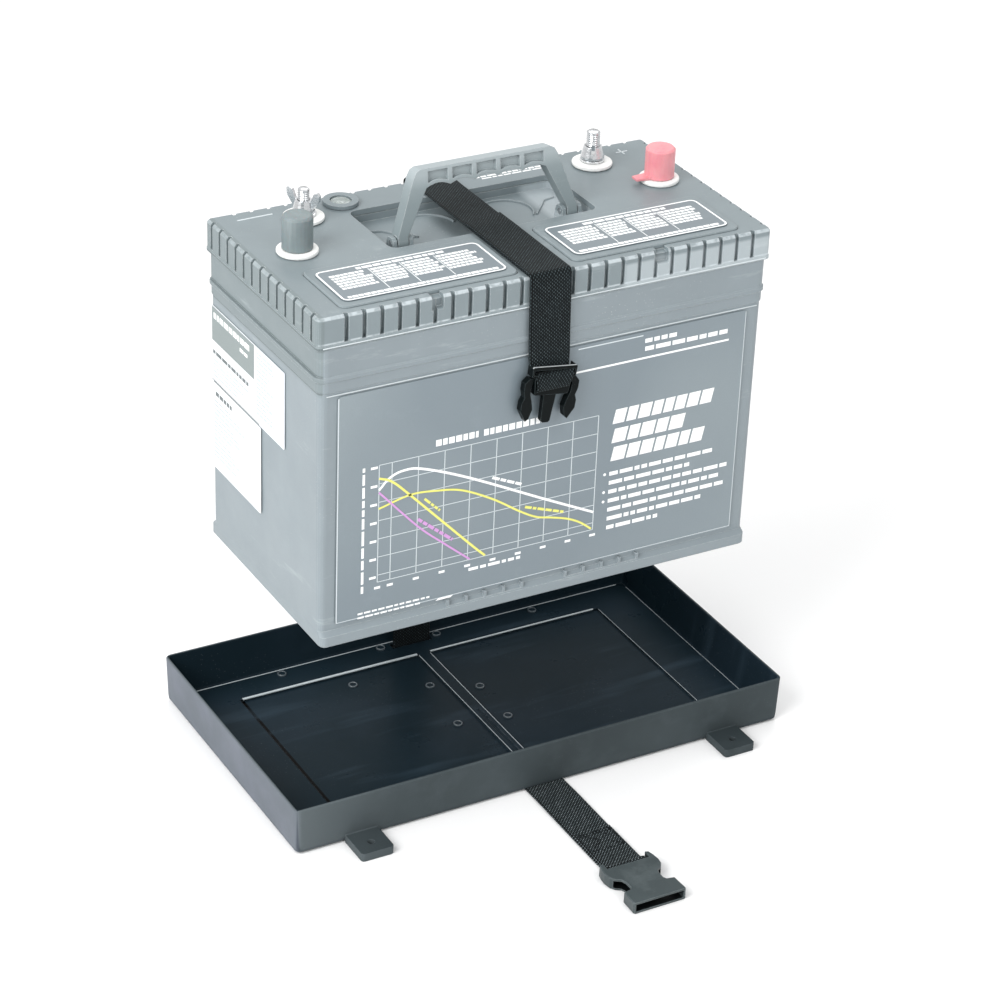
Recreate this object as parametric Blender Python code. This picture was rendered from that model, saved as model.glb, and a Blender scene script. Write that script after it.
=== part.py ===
"""A battery tray with its webbing strap and side-release buckle, and the battery lifted above it.

Metres, +Z up. The origin is at the middle of the tray, on the floor. +X runs along the tray's long
side and -Y faces the wall that the buckled end of the strap comes out under.
"""

from math import cos, pi, radians, sin

import bmesh
import bpy
from mathutils import Vector

# Clearance between touching pieces
GAP = 0.0003

# Tray
TRAY_LENGTH = 0.3816
TRAY_WIDTH = 0.2158
TRAY_HEIGHT = 0.0354
FOOT_CORNER = 0.0016
TRAY_WALL = 0.0022
UNDERSIDE_RIM = 0.0060
FLOOR_TOP = 0.005
FLOOR_UNDERSIDE = 0.0018
PANEL_TOP = 0.0033
PANEL_OUTER_X = 0.147
PANEL_HALF_Y = 0.075
RIB_HALF_WIDTH = 0.0045
BOSS_RADIUS = 0.0032
BOSS_HEIGHT = 0.0008
FLOOR_BOSSES = [(-0.1056, 0.093), (-0.0255, 0.094), (0.0205, 0.094), (0.1008, 0.093)]
PANEL_BOSSES = [(-0.0155, 0.0353), (-0.0208, -0.0173), (0.0166, 0.0192), (0.0160, -0.0236),
                (-0.065, 0.060)]
TAB_X = 0.142
TAB_WIDTH = 0.024
TAB_REACH = 0.1325
TAB_HEIGHT = 0.006
TAB_HOLE_Y = 0.1215
TAB_HOLE_RADIUS = 0.0026

# Strap
STRAP_X = -0.0010
LID_STRAP_X = -0.0030
STRAP_WIDTH = 0.030
WEB = 0.0014
SLOT_FRONT_Y = 0.0895
SLOT_BACK_Y = 0.0965
BASE_BACK_Y = 0.0945
BASE_FRONT_Y = -0.1093
REAR_FOOT_Y = 0.0935
REAR_TOP_Y = 0.0864
STRAP_HINGE_Y = -0.1105
TAIL_END_Y = -0.2137
HEM_START_Y = -0.170
TOP_BACK_Y = 0.0846
LOOSE_END_Y = 0.005
DROP_END_Z = 0.3183

# Battery: its bottom stands BATTERY_Z above the floor when it is lifted as far as it goes
BATTERY_Z = 0.1415
CASE_LENGTH = 0.326
CASE_WIDTH = 0.1726
CASE_HEIGHT = 0.2146
CASE_WALL = 0.003
CELLS = 6
CELL_WALL = 0.0018
PLATES = 9
PLATE_THICKNESS = 0.0024
PLATES_TOP = BATTERY_Z + 0.176
REST_STARTS = (-0.0700, 0.0195)
REST_LENGTH = 0.0570
REST_RIBS = 5
REST_PITCH = 0.0140
LID_LENGTH = 0.333
LID_WIDTH = 0.1684
LID_BOTTOM = 0.3564
LID_TOP = 0.37815
LID_SKIN = 0.004
LID_CORNER = 0.0035
CASE_CORNER = 0.0035
NOTCH_PITCH = 0.0124
NOTCH_WIDTH = 0.0030
NOTCH_DEPTH = 0.0038
NOTCH_LAST_X = 0.1515
NOTCHES_LONG = 25
NOTCHES_SHORT = 13
PRY_X = 0.0825
PRY_HALF_WIDTH = 0.0042
BASIN_HALF_X = 0.077
BASIN_FRONT_Y = -0.009
BASIN_BACK_Y = 0.055
BASIN_FLOOR = 0.3686
WELL_WALL = 0.0025
EAR_SPANS = ((0.0556, 0.0586), (0.0675, 0.0705))

# Vent covers and labels
COVER_INNER_X = 0.0195
COVER_OUTER_X = 0.1465
COVER_FRONT_Y = -0.0765
COVER_BACK_Y = -0.0175
COVER_SEAT = 0.0020
COVER_THICKNESS = 0.0030
VENT_Y = -0.048
VENT_RADIUS = 0.0060
PAPER = 0.0004

# Terminals
POST_NEGATIVE = (-0.1345, 0.0110)
POST_POSITIVE = (0.1385, 0.0150)
STUD_NEGATIVE = (-0.1085, 0.0560)
STUD_POSITIVE = (0.1105, 0.0570)
POST_RADIUS = 0.0082
POST_TOP = 0.396
STUD_RADII = {"negative": 0.0040, "positive": 0.0048}
STUD_TOPS = {"negative": 0.4005, "positive": 0.4033}
WASHER_THICKNESS = 0.0032
POST_WASHER_RADIUS = 0.0138
STUD_WASHER_RADIUS = 0.0140
FLANGE_RADIUS = 0.0085
FLANGE_HEIGHT = 0.0016
CAP_RADIUS = 0.0102
CAP_HEIGHTS = {"negative": 0.0229, "positive": 0.0210}
CHARGE_EYE = (-0.0750, 0.0690)
BEZEL_RADIUS = 0.0120
WING_OUTLINE = [
    (0.0035, 0.0012),
    (0.0070, 0.0020),
    (0.0125, 0.0095),
    (0.0130, 0.0135),
    (0.0115, 0.0155),
    (0.0085, 0.0140),
    (0.0060, 0.0080),
    (0.0035, 0.0070),
]
CAP_TAB = [(-0.0195, -0.0035), (-0.0070, -0.0045), (-0.0070, 0.0045), (-0.0195, 0.0035)]

# Carrying handle, drawn upright about its pivots
PIVOT_X = 0.063
PIVOT_Y = 0.006
PIVOT_Z = 0.3742
HANDLE_TILT = radians(9)
HANDLE_HEIGHT = 0.047
HANDLE_HALF_TOP = 0.052
HANDLE_HALF_DEPTH = 0.005
GRIP_UNDERSIDE = 0.034
GRIP_SCALLOPS = 5
PIN_RADIUS = 0.002

# Buckle
SOCKET_X = -0.0020
SOCKET_BACK_Y = -0.2140
SOCKET_FRONT_Y = -0.2608
SOCKET_HEIGHT = 0.0086
SOCKET_SKIN = 0.0015
PLUG_X = 0.0004
PLUG_Y = -0.0889
PLUG_Z = 0.3154
PLUG_TILT = radians(8)
PRONG_HINGE = (0.0158, -0.0088)

# Half outlines of the buckle: the socket as (x, distance in front of its back edge), the rest (x, z)
SOCKET_SIDE = [
    (0.0168, 0.0),
    (0.0190, 0.0008),
    (0.0201, 0.0050),
    (0.0206, 0.0100),
    (0.0199, 0.0150),
    (0.0176, 0.0185),
    (0.0140, 0.0208),
    (0.0128, 0.0240),
    (0.0126, 0.0300),
    (0.0140, 0.0322),
    (0.0194, 0.0332),
    (0.0199, 0.0458),
    (0.0193, 0.0468),
]
PLUG_SIDE = [(0.0160, 0.0), (0.0166, -0.0008), (0.0164, -0.0070), (0.0140, -0.0078), (0.0124, -0.0198)]
TONGUE_SIDE = [(-0.0048, -0.0185), (-0.0034, -0.0392), (-0.0022, -0.0405)]
PRONG = [
    (0.0144, -0.0088),
    (0.0172, -0.0080),
    (0.0204, -0.0115),
    (0.0204, -0.0170),
    (0.0190, -0.0215),
    (0.0205, -0.0255),
    (0.0204, -0.0310),
    (0.0158, -0.0385),
    (0.0136, -0.0368),
    (0.0118, -0.0302),
    (0.0134, -0.0242),
    (0.0152, -0.0195),
    (0.0154, -0.0130),
]


# ---------------------------------------------------------------- shapes

def ring_faces(count, rings):
    """Quads between successive rings of `count` points, and a face on each end."""
    faces = [tuple(range(count))[::-1]]
    for r in range(rings - 1):
        for i in range(count):
            j = (i + 1) % count
            a, b = r * count, (r + 1) * count
            faces.append((a + i, a + j, b + j, b + i))
    faces.append(tuple(range((rings - 1) * count, rings * count)))
    return faces


def loft(rings):
    """A closed shape through rings of equally many points."""
    points = [point for ring in rings for point in ring]
    return points, ring_faces(len(rings[0]), len(rings))


def prism(outline, low, high, axis="z"):
    """A 2-D outline extruded along an axis. Along y the outline is (x, z), along x it is (y, z)."""
    place = {
        "x": lambda a, b, c: (c, a, b),
        "y": lambda a, b, c: (a, c, b),
        "z": lambda a, b, c: (a, b, c),
    }[axis]
    return loft([[place(a, b, c) for a, b in outline] for c in (low, high)])


def box(x0, x1, y0, y1, z0, z1):
    return prism([(x0, y0), (x1, y0), (x1, y1), (x0, y1)], z0, z1)


def mirrored(side):
    """A closed outline from one side of it; the other side is its mirror image in x."""
    return side + [(-x, z) for x, z in reversed(side)]


def circle(x, y, radius, sides):
    steps = [2 * pi * i / sides for i in range(sides)]
    return [(x + radius * cos(t), y + radius * sin(t)) for t in steps]


def turned(x, y, profile, sides=24):
    """A solid of revolution about a vertical axis from (radius, z) pairs, bottom to top."""
    return loft([[(a, b, z) for a, b in circle(x, y, r, sides)] for r, z in profile])


def tube(x, y, outer, inner, z0, z1, sides=24):
    """A vertical ring with a round hole."""
    rings = [(outer, z0), (outer, z1), (inner, z1), (inner, z0)]
    points = [(a, b, z) for r, z in rings for a, b in circle(x, y, r, sides)]
    faces = []
    for k in range(4):
        for i in range(sides):
            j = (i + 1) % sides
            a, b = k * sides, (k + 1) % 4 * sides
            faces.append((a + i, a + j, b + j, b + i))
    return points, faces


def rounded(x0, x1, y0, y1, radius, steps=4):
    """A rectangle with round corners, counter-clockwise."""
    corners = [
        (x1 - radius, y0 + radius, -pi / 2),
        (x1 - radius, y1 - radius, 0),
        (x0 + radius, y1 - radius, pi / 2),
        (x0 + radius, y0 + radius, pi),
    ]
    outline = []
    for cx, cy, start in corners:
        for k in range(steps + 1):
            t = start + pi / 2 * k / steps
            outline.append((cx + radius * cos(t), cy + radius * sin(t)))
    return outline


def shell_rings(profile, corner, steps=4):
    """Rings of a rectangular shell from (half length, half width, z); the corners keep their centres."""
    first = profile[0][0]
    rings = []
    for hx, hy, z in profile:
        radius = max(corner + hx - first, 0.0015)
        rings.append([(x, y, z) for x, y in rounded(-hx, hx, -hy, hy, radius, steps)])
    return rings


def together(*shapes):
    """Several shapes as one list of points and faces."""
    points, faces = [], []
    for more_points, more_faces in shapes:
        start = len(points)
        points += more_points
        faces += [tuple(start + i for i in face) for face in more_faces]
    return points, faces


# ---------------------------------------------------------------- objects

def clear_scene():
    for item in list(bpy.data.objects):
        bpy.data.objects.remove(item, do_unlink=True)


def new_material(name, colour, roughness, metallic=0.0):
    made = bpy.data.materials.new(name)
    made.use_nodes = True
    shader = made.node_tree.nodes["Principled BSDF"]
    shader.inputs["Base Color"].default_value = (*colour, 1.0)
    shader.inputs["Roughness"].default_value = roughness
    shader.inputs["Metallic"].default_value = metallic
    return made


def new_empty(name, location=(0, 0, 0), parent=None, rotation=(0, 0, 0)):
    """A body's frame, on its joint's axis. The location is in the world."""
    empty = bpy.data.objects.new(name, None)
    bpy.context.scene.collection.objects.link(empty)
    empty.empty_display_size = 0.02
    empty.parent = parent
    empty.location = Vector(location) - (parent.matrix_world.translation if parent else Vector())
    empty.rotation_euler = rotation
    bpy.context.view_layer.update()
    return empty


def mesh_from(name, shape):
    mesh = bpy.data.meshes.new(name)
    mesh.from_pydata(shape[0], [], shape[1])
    work = bmesh.new()
    work.from_mesh(mesh)
    bmesh.ops.recalc_face_normals(work, faces=work.faces)
    work.to_mesh(mesh)
    work.free()
    return mesh


def combine(target, shape, operation):
    """Applies a boolean of one more shape to an object's mesh."""
    other = bpy.data.objects.new("cutter", mesh_from("cutter", shape))
    bpy.context.scene.collection.objects.link(other)
    step = target.modifiers.new("boolean", "BOOLEAN")
    step.operation = operation
    step.solver = "EXACT"
    step.object = other
    bpy.context.view_layer.update()
    graph = bpy.context.evaluated_depsgraph_get()
    result = bpy.data.meshes.new_from_object(target.evaluated_get(graph))
    target.modifiers.clear()
    target.data = result
    bpy.data.objects.remove(other, do_unlink=True)


def piece(name, shape, look, body=None, joins=(), cuts=(), local=False):
    """A named sub-part. Its shape is in world coordinates unless local, then in its body's frame."""
    item = bpy.data.objects.new(name, mesh_from(name, shape))
    bpy.context.scene.collection.objects.link(item)
    for extra in joins:
        combine(item, extra, "UNION")
    for extra in cuts:
        combine(item, extra, "DIFFERENCE")
    item.data.materials.clear()
    item.data.materials.append(look)
    if body is not None and not local:
        item.data.transform(body.matrix_world.inverted())
    item.parent = body
    item.data.shade_smooth()
    item.data.set_sharp_from_angle(angle=radians(35))
    return item


# ---------------------------------------------------------------- tray and strap

def build_tray(look, body):
    hx, hy = TRAY_LENGTH / 2, TRAY_WIDTH / 2
    in_x, in_y = hx - TRAY_WALL, hy - TRAY_WALL
    profile = [
        (hx - 0.0034, hy - 0.0034, 0.0),
        (hx - 0.0014, hy - 0.0014, 0.0020),
        (hx - 0.0010, hy - 0.0010, 0.0060),
        (hx, hy, TRAY_HEIGHT - 0.0006),
        (hx - 0.0006, hy - 0.0006, TRAY_HEIGHT),
        (in_x + 0.0004, in_y + 0.0004, TRAY_HEIGHT),
        (in_x, in_y, TRAY_HEIGHT - 0.0006),
        (in_x - 0.0050, in_y - 0.0056, 0.0064),
        (in_x - 0.0057, in_y - 0.0064, FLOOR_TOP),
    ]
    shell = loft(shell_rings(profile, FOOT_CORNER, 6))

    tabs = []
    tab_holes = []
    for sx in (-1, 1):
        for sy in (-1, 1):
            cx = sx * TAB_X
            near, far = sorted((sy * (hy - 0.0030), sy * TAB_REACH))
            outline = rounded(cx - TAB_WIDTH / 2, cx + TAB_WIDTH / 2, near, far, 0.0024, 3)
            tabs.append(prism(outline, 0.0, TAB_HEIGHT))
            hole = circle(cx, sy * TAB_HOLE_Y, TAB_HOLE_RADIUS, 16)
            tab_holes.append(prism(hole, -0.001, TAB_HEIGHT + 0.001))

    top = FLOOR_TOP + 0.010
    rim_x, rim_y = hx - UNDERSIDE_RIM, hy - UNDERSIDE_RIM
    under = box(-rim_x, rim_x, -rim_y, rim_y, -0.001, FLOOR_UNDERSIDE)
    left_x = STRAP_X - STRAP_WIDTH / 2 - 0.0013
    right_x = STRAP_X + STRAP_WIDTH / 2 + 0.0013
    notch = box(left_x, right_x, -hy - 0.002, -rim_y + 0.001, -0.001, FLOOR_UNDERSIDE)
    slot = box(left_x, right_x, SLOT_FRONT_Y, SLOT_BACK_Y, 0.0, top)
    groove = box(-0.0015, 0.0015, -PANEL_HALF_Y + 0.001, -0.008, FLOOR_TOP - 0.0008, top)
    panels = [
        box(*sorted((side * RIB_HALF_WIDTH, side * PANEL_OUTER_X)), -PANEL_HALF_Y, PANEL_HALF_Y,
            PANEL_TOP, top)
        for side in (-1, 1)
    ]

    bosses = []
    for places, level in ((FLOOR_BOSSES, FLOOR_TOP), (PANEL_BOSSES, PANEL_TOP)):
        for x, y in places:
            profile = [(BOSS_RADIUS, level - 0.0005), (BOSS_RADIUS, level + BOSS_HEIGHT - 0.0003)]
            profile.append((BOSS_RADIUS - 0.0007, level + BOSS_HEIGHT))
            bosses.append(turned(x, y, profile, 14))

    tray = piece("tray", shell, look, body, joins=[together(*tabs)],
                 cuts=[together(*tab_holes), under, notch, together(*panels), groove])
    combine(tray, together(*bosses), "UNION")
    combine(tray, slot, "DIFFERENCE")


def build_strap_base(look, body):
    x0, x1 = STRAP_X - STRAP_WIDTH / 2, STRAP_X + STRAP_WIDTH / 2
    flat = [(BASE_BACK_Y, 0.0), (BASE_BACK_Y, WEB), (BASE_FRONT_Y, WEB), (BASE_FRONT_Y - 0.0005, 0.0)]
    piece("strap_base", prism(flat, x0, x1, "x"), look, body)
    z0, z1 = WEB + GAP, LID_TOP + GAP + WEB
    half = STRAP_WIDTH / 2
    rise = []
    for centre, y, z in ((STRAP_X, REAR_FOOT_Y, z0), (LID_STRAP_X, REAR_TOP_Y, z1)):
        left, right = centre - half, centre + half
        rise.append([(left, y - WEB, z), (right, y - WEB, z), (right, y, z), (left, y, z)])
    piece("strap_rear", loft(rise), look, body)


def build_tail(web, plastic, body):
    x0, x1 = STRAP_X - STRAP_WIDTH / 2, STRAP_X + STRAP_WIDTH / 2
    half = WEB / 2
    bend = [(STRAP_HINGE_Y + half * sin(t), half - half * cos(t)) for t in (0, pi / 4, pi / 2)]
    bend += [(STRAP_HINGE_Y + half * cos(t), half + half * sin(t)) for t in (pi / 4, pi / 2)]
    outline = bend + [(TAIL_END_Y, WEB), (TAIL_END_Y, 0.0)]
    piece("strap_tail", prism(outline, x0, x1, "x"), web, body)
    hem_low, hem_high = WEB + GAP, 2 * WEB + GAP
    hem = box(x0 + 0.0004, x1 - 0.0004, TAIL_END_Y, HEM_START_Y, hem_low, hem_high)
    piece("strap_tail_hem", hem, web, body)

    centre = SOCKET_X
    back, front = SOCKET_BACK_Y, SOCKET_FRONT_Y
    outline = [(centre + x, back - reach) for x, reach in mirrored(SOCKET_SIDE)]
    bevel = 0.0006
    shrunk = [(centre + (x - centre) * 0.972, y * 0.999 - 0.0002) for x, y in outline]
    rings = [
        [(x, y, 0.0) for x, y in shrunk],
        [(x, y, bevel) for x, y in outline],
        [(x, y, SOCKET_HEIGHT - bevel) for x, y in outline],
        [(x, y, SOCKET_HEIGHT) for x, y in shrunk],
    ]
    cavity = box(centre - 0.0182, centre + 0.0182, front - 0.002, back - 0.0086,
                 SOCKET_SKIN, SOCKET_HEIGHT - SOCKET_SKIN)
    slot = box(centre - 0.0163, centre + 0.0163, back - 0.0063, back - 0.0025,
               -0.001, SOCKET_HEIGHT + 0.001)
    bar_top = box(centre - 0.0163, centre + 0.0163, back - 0.0030, back + 0.0010,
                  0.0050, SOCKET_HEIGHT + 0.001)
    piece("buckle_socket", loft(rings), plastic, body, cuts=[cavity, slot, bar_top])


# ---------------------------------------------------------------- battery

def build_case(look, lead, body):
    hx, hy = CASE_LENGTH / 2, CASE_WIDTH / 2
    z = BATTERY_Z
    profile = [
        (hx - 0.0010, hy - 0.0010, z),
        (hx, hy, z + 0.0010),
        (hx, hy, z + 0.0078),
        (hx - 0.0002, hy - 0.0040, z + 0.0105),
        (hx + 0.0006, hy - 0.0037, z + 0.1835),
        (hx + 0.0014, hy - 0.0029, z + 0.1845),
        (hx + 0.0014, hy - 0.0029, z + 0.1910),
        (hx + 0.0029, hy - 0.0021, z + 0.1920),
        (hx + 0.0029, hy - 0.0021, z + 0.1945),
        (hx + 0.0014, hy - 0.0028, z + 0.1955),
        (hx + 0.0016, hy - 0.0027, z + CASE_HEIGHT),
    ]
    shell = loft(shell_rings(profile, CASE_CORNER, 4))

    inner_x = hx - 0.0005 - CASE_WALL
    inner_y = hy - 0.0040 - CASE_WALL
    cell = (2 * inner_x - (CELLS - 1) * CELL_WALL) / CELLS
    pitch = cell + CELL_WALL
    centres = [-inner_x + cell / 2 + k * pitch for k in range(CELLS)]
    cells = [box(c - cell / 2, c + cell / 2, -inner_y, inner_y, z + 0.004, z + 0.200) for c in centres]
    above = box(-inner_x, inner_x, -inner_y, inner_y, z + 0.198, z + CASE_HEIGHT + 0.01)

    rests = []
    for side in (-1, 1):
        for start in REST_STARTS:
            ends = sorted((side * (hy - 0.0050), side * (hy - 0.0010)))
            rests.append(box(start, start + REST_LENGTH, *ends, z + 0.0060, z + 0.0088))
            for k in range(REST_RIBS):
                x = start + REST_PITCH * k
                rests.append(box(x - 0.0005, x + 0.0015, *ends, z + 0.0086, z + 0.0128))
    case = piece("battery_case", shell, look, body, cuts=[together(*cells), above])
    for rest in rests:
        combine(case, rest, "UNION")

    plate = PLATE_THICKNESS
    step = (cell - 0.0040 - plate) / (PLATES - 1)
    low, bar_low, bar_high = z + 0.010, PLATES_TOP - 0.006, PLATES_TOP
    for k, centre in enumerate(centres):
        first = centre - step * (PLATES - 1) / 2
        comb = [(first - plate / 2, bar_high)]
        for i in range(PLATES):
            x = first + step * i
            if i:
                comb.append((x - plate / 2, bar_low))
            comb += [(x - plate / 2, low), (x + plate / 2, low)]
            if i < PLATES - 1:
                comb.append((x + plate / 2, bar_low))
        comb.append((first + step * (PLATES - 1) + plate / 2, bar_high))
        group = prism(comb, -inner_y + 0.004, inner_y - 0.004, "y")
        piece(f"cell_plates_{k + 1}", group, lead, body)
    return centres


def build_lid(look, body, vents):
    hx, hy = LID_LENGTH / 2, LID_WIDTH / 2
    profile = [
        (hx - 0.0003, hy - 0.0003, LID_BOTTOM),
        (hx, hy, LID_BOTTOM + 0.0004),
        (hx, hy, LID_BOTTOM + 0.0024),
        (hx - 0.0005, hy - 0.0005, LID_BOTTOM + 0.0029),
        (hx - 0.0005, hy - 0.0005, LID_TOP - 0.0016),
        (hx - 0.0019, hy - 0.0019, LID_TOP),
    ]
    shell = loft(shell_rings(profile, LID_CORNER, 4))
    cavity_top = LID_TOP - LID_SKIN
    inner_x, inner_y = hx - 0.0048, hy - 0.0048
    cavity = box(-inner_x, inner_x, -inner_y, inner_y, LID_BOTTOM - 0.001, cavity_top)
    tub = box(-BASIN_HALF_X - WELL_WALL, BASIN_HALF_X + WELL_WALL, BASIN_FRONT_Y - WELL_WALL,
              BASIN_BACK_Y + WELL_WALL, BASIN_FLOOR - WELL_WALL, cavity_top - GAP)
    above = LID_TOP + 0.010
    basin = prism(rounded(-BASIN_HALF_X, BASIN_HALF_X, BASIN_FRONT_Y, BASIN_BACK_Y, 0.006),
                  BASIN_FLOOR, above)

    seats = []
    for side in (-1, 1):
        x0, x1 = sorted((side * COVER_INNER_X, side * COVER_OUTER_X))
        outline = rounded(x0, x1, COVER_FRONT_Y, COVER_BACK_Y, 0.0055)
        seats.append(prism(outline, LID_TOP - COVER_SEAT, above))

    bores = [prism(circle(x, VENT_Y, VENT_RADIUS + 0.0006, 20), cavity_top - 0.01, above) for x in vents]
    for x, y in (POST_NEGATIVE, POST_POSITIVE):
        bores.append(prism(circle(x, y, POST_RADIUS + 0.0006, 20), cavity_top - 0.01, above))
    for name, (x, y) in (("negative", STUD_NEGATIVE), ("positive", STUD_POSITIVE)):
        bores.append(prism(circle(x, y, STUD_RADII[name] + 0.0005, 16), cavity_top - 0.01, above))

    notches = []
    low = LID_BOTTOM + 0.0032
    half = NOTCH_WIDTH / 2
    for side in (-1, 1):
        y0, y1 = sorted((side * (hy - NOTCH_DEPTH), side * (hy + 0.002)))
        for k in range(NOTCHES_LONG):
            x = NOTCH_LAST_X - k * NOTCH_PITCH
            notches.append(box(x - half, x + half, y0, y1, low, above))
        x0, x1 = sorted((side * (hx - NOTCH_DEPTH), side * (hx + 0.002)))
        for k in range(NOTCHES_SHORT):
            y = (k - (NOTCHES_SHORT - 1) / 2) * NOTCH_PITCH
            notches.append(box(x0, x1, y - half, y + half, low, above))

    pry_recesses = []
    for side in (-1, 1):
        x0, x1 = sorted((side * (PRY_X - PRY_HALF_WIDTH), side * (PRY_X + PRY_HALF_WIDTH)))
        profile = [(-hy - 0.002, LID_TOP - 0.0110), (-hy + 0.0034, LID_TOP - 0.0080),
                   (-hy + 0.0034, LID_TOP - 0.0030), (COVER_FRONT_Y + 0.0003, LID_TOP - 0.0024),
                   (COVER_FRONT_Y + 0.0003, above), (-hy - 0.002, above)]
        pry_recesses.append(prism(profile, x0, x1, "x"))

    ears = []
    for side in (-1, 1):
        for near, far in EAR_SPANS:
            x0, x1 = sorted((side * near, side * far))
            profile = [(PIVOT_Y - 0.0065, BASIN_FLOOR - 0.001), (PIVOT_Y + 0.0065, BASIN_FLOOR - 0.001)]
            profile += [(PIVOT_Y + 0.0040, PIVOT_Z + 0.0030), (PIVOT_Y + 0.0020, PIVOT_Z + 0.0045)]
            profile += [(PIVOT_Y - 0.0020, PIVOT_Z + 0.0045), (PIVOT_Y - 0.0040, PIVOT_Z + 0.0030)]
            ears.append(prism(profile, x0, x1, "x"))
    pin_bores = []
    for side in (-1, 1):
        x0, x1 = sorted((side * 0.0540, side * 0.0720))
        pin_bores.append(prism(circle(PIVOT_Y, PIVOT_Z, PIN_RADIUS + GAP, 16), x0, x1, "x"))

    lid = piece("battery_lid", shell, look, body, cuts=[cavity])
    combine(lid, basin, "DIFFERENCE")
    combine(lid, together(*seats), "DIFFERENCE")
    combine(lid, together(*notches), "DIFFERENCE")
    combine(lid, together(*bores), "DIFFERENCE")
    combine(lid, together(*pry_recesses), "DIFFERENCE")

    well = piece("handle_well", tub, look, body, cuts=[basin])
    combine(well, together(*ears), "UNION")
    combine(well, together(*pin_bores), "DIFFERENCE")


def build_vent_cover(name, side, vents, plastic, paper, body):
    play = 0.0004
    x0, x1 = sorted((side * (COVER_INNER_X + play), side * (COVER_OUTER_X - play)))
    y0, y1 = COVER_FRONT_Y + play, COVER_BACK_Y - play
    low = LID_TOP - COVER_SEAT + GAP
    high = low + COVER_THICKNESS
    edge = 0.0007
    rings = [
        [(x, y, low) for x, y in rounded(x0, x1, y0, y1, 0.005)],
        [(x, y, high - edge) for x, y in rounded(x0, x1, y0, y1, 0.005)],
        [(x, y, high) for x, y in rounded(x0 + edge, x1 - edge, y0 + edge, y1 - edge, 0.0045)],
    ]
    stems = [
        turned(x, VENT_Y, [(VENT_RADIUS - 0.001, low - 0.011), (VENT_RADIUS, low - 0.0095),
                           (VENT_RADIUS, low + 0.0005)], 20)
        for x in vents if x * side > 0
    ]
    piece(f"vent_cover_{name}", loft(rings), plastic, body, joins=[together(*stems)])
    inset_x, inset_front, inset_back = 0.0048, 0.0056, 0.0072
    outline = rounded(x0 + inset_x, x1 - inset_x, y0 + inset_front, y1 - inset_back, 0.005)
    piece(f"vent_label_{name}", prism(outline, high + GAP, high + GAP + PAPER), paper, body)


def build_case_labels(paper, body):
    front_y = -CASE_WIDTH / 2 + 0.0037 - 0.0004
    outline = rounded(-0.1515, 0.1515, BATTERY_Z + 0.0140, BATTERY_Z + 0.1800, 0.003, 3)
    piece("front_label", prism(outline, front_y - PAPER, front_y, "y"), paper, body)
    end_x = -CASE_LENGTH / 2 - 0.0009
    upper = rounded(-0.0330, 0.0790, BATTERY_Z + 0.1212, BATTERY_Z + 0.1765, 0.001, 2)
    lower = rounded(0.0028, 0.0790, BATTERY_Z + 0.0560, BATTERY_Z + 0.1202, 0.001, 2)
    for name, outline in (("upper", upper), ("lower", lower)):
        piece(f"end_label_{name}", prism(outline, end_x - PAPER, end_x, "x"), paper, body)


def build_terminals(lead, steel, felt, body):
    lid_top = LID_TOP + GAP
    washer_top = lid_top + WASHER_THICKNESS
    for name, (x, y), outer, inner in (
        ("post_negative", POST_NEGATIVE, POST_WASHER_RADIUS, POST_RADIUS),
        ("post_positive", POST_POSITIVE, POST_WASHER_RADIUS, POST_RADIUS),
        ("stud_negative", STUD_NEGATIVE, STUD_WASHER_RADIUS, STUD_RADII["negative"]),
        ("stud_positive", STUD_POSITIVE, STUD_WASHER_RADIUS, STUD_RADII["positive"]),
    ):
        ring = tube(x, y, outer, inner + 2 * GAP, lid_top, washer_top)
        piece(f"washer_{name}", ring, felt, body)

    plates_top = PLATES_TOP + GAP
    for name, (x, y) in (("negative", POST_NEGATIVE), ("positive", POST_POSITIVE)):
        profile = [(POST_RADIUS, plates_top), (POST_RADIUS, lid_top), (POST_RADIUS - 0.0008, POST_TOP)]
        piece(f"terminal_post_{name}", turned(x, y, profile), lead, body)
    for name, (x, y) in (("negative", STUD_NEGATIVE), ("positive", STUD_POSITIVE)):
        flange = washer_top + GAP
        radius, top = STUD_RADII[name], STUD_TOPS[name]
        profile = [
            (radius, BASIN_FLOOR - 0.002),
            (radius, flange),
            (FLANGE_RADIUS, flange),
            (FLANGE_RADIUS, flange + FLANGE_HEIGHT),
            (radius, flange + FLANGE_HEIGHT + 0.0002),
            (radius, top - 0.0010),
            (radius - 0.0010, top),
        ]
        piece(f"terminal_stud_{name}", turned(x, y, profile, 16), steel, body)


def build_wing_nut(name, angle, steel, body):
    """A wing nut in its own frame, whose origin is on the stud's axis at the nut's seat."""
    bore = STUD_RADII[name] + GAP
    foot, neck = bore + 0.0031, bore + 0.0012
    height = 0.0085
    hub = loft([
        [(a, b, z) for a, b in circle(0, 0, r, 20)]
        for r, z in ((foot, 0), (foot, 0.0012), (neck, height))
    ])
    wings = [prism([(side * x, z) for x, z in WING_OUTLINE], -0.0011, 0.0011, "y") for side in (-1, 1)]
    hole = prism(circle(0, 0, bore, 16), -0.001, height + 0.010)
    nut = piece(f"wing_nut_{name}", hub, steel, body, joins=[together(*wings)], cuts=[hole], local=True)
    nut.rotation_euler = (0, 0, angle)


def build_post_cap(name, tab, rubber, body):
    """A post cap in its own frame, whose origin is on the post's axis at the cap's rim."""
    wall = 0.0016
    inner = POST_RADIUS + 0.0004
    outer, height = CAP_RADIUS, CAP_HEIGHTS[name]
    profile = [(outer, 0.0), (outer, height - 0.0014), (outer - 0.0014, height)]
    cavity = turned(0, 0, [(inner, -0.001), (inner, height - wall - 0.0006)])
    joins = []
    if tab:
        joins.append(prism(CAP_TAB, 0.0, 0.0016))
    piece(f"post_cap_{name}", turned(0, 0, profile), rubber, body, joins=joins, cuts=[cavity], local=True)


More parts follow.
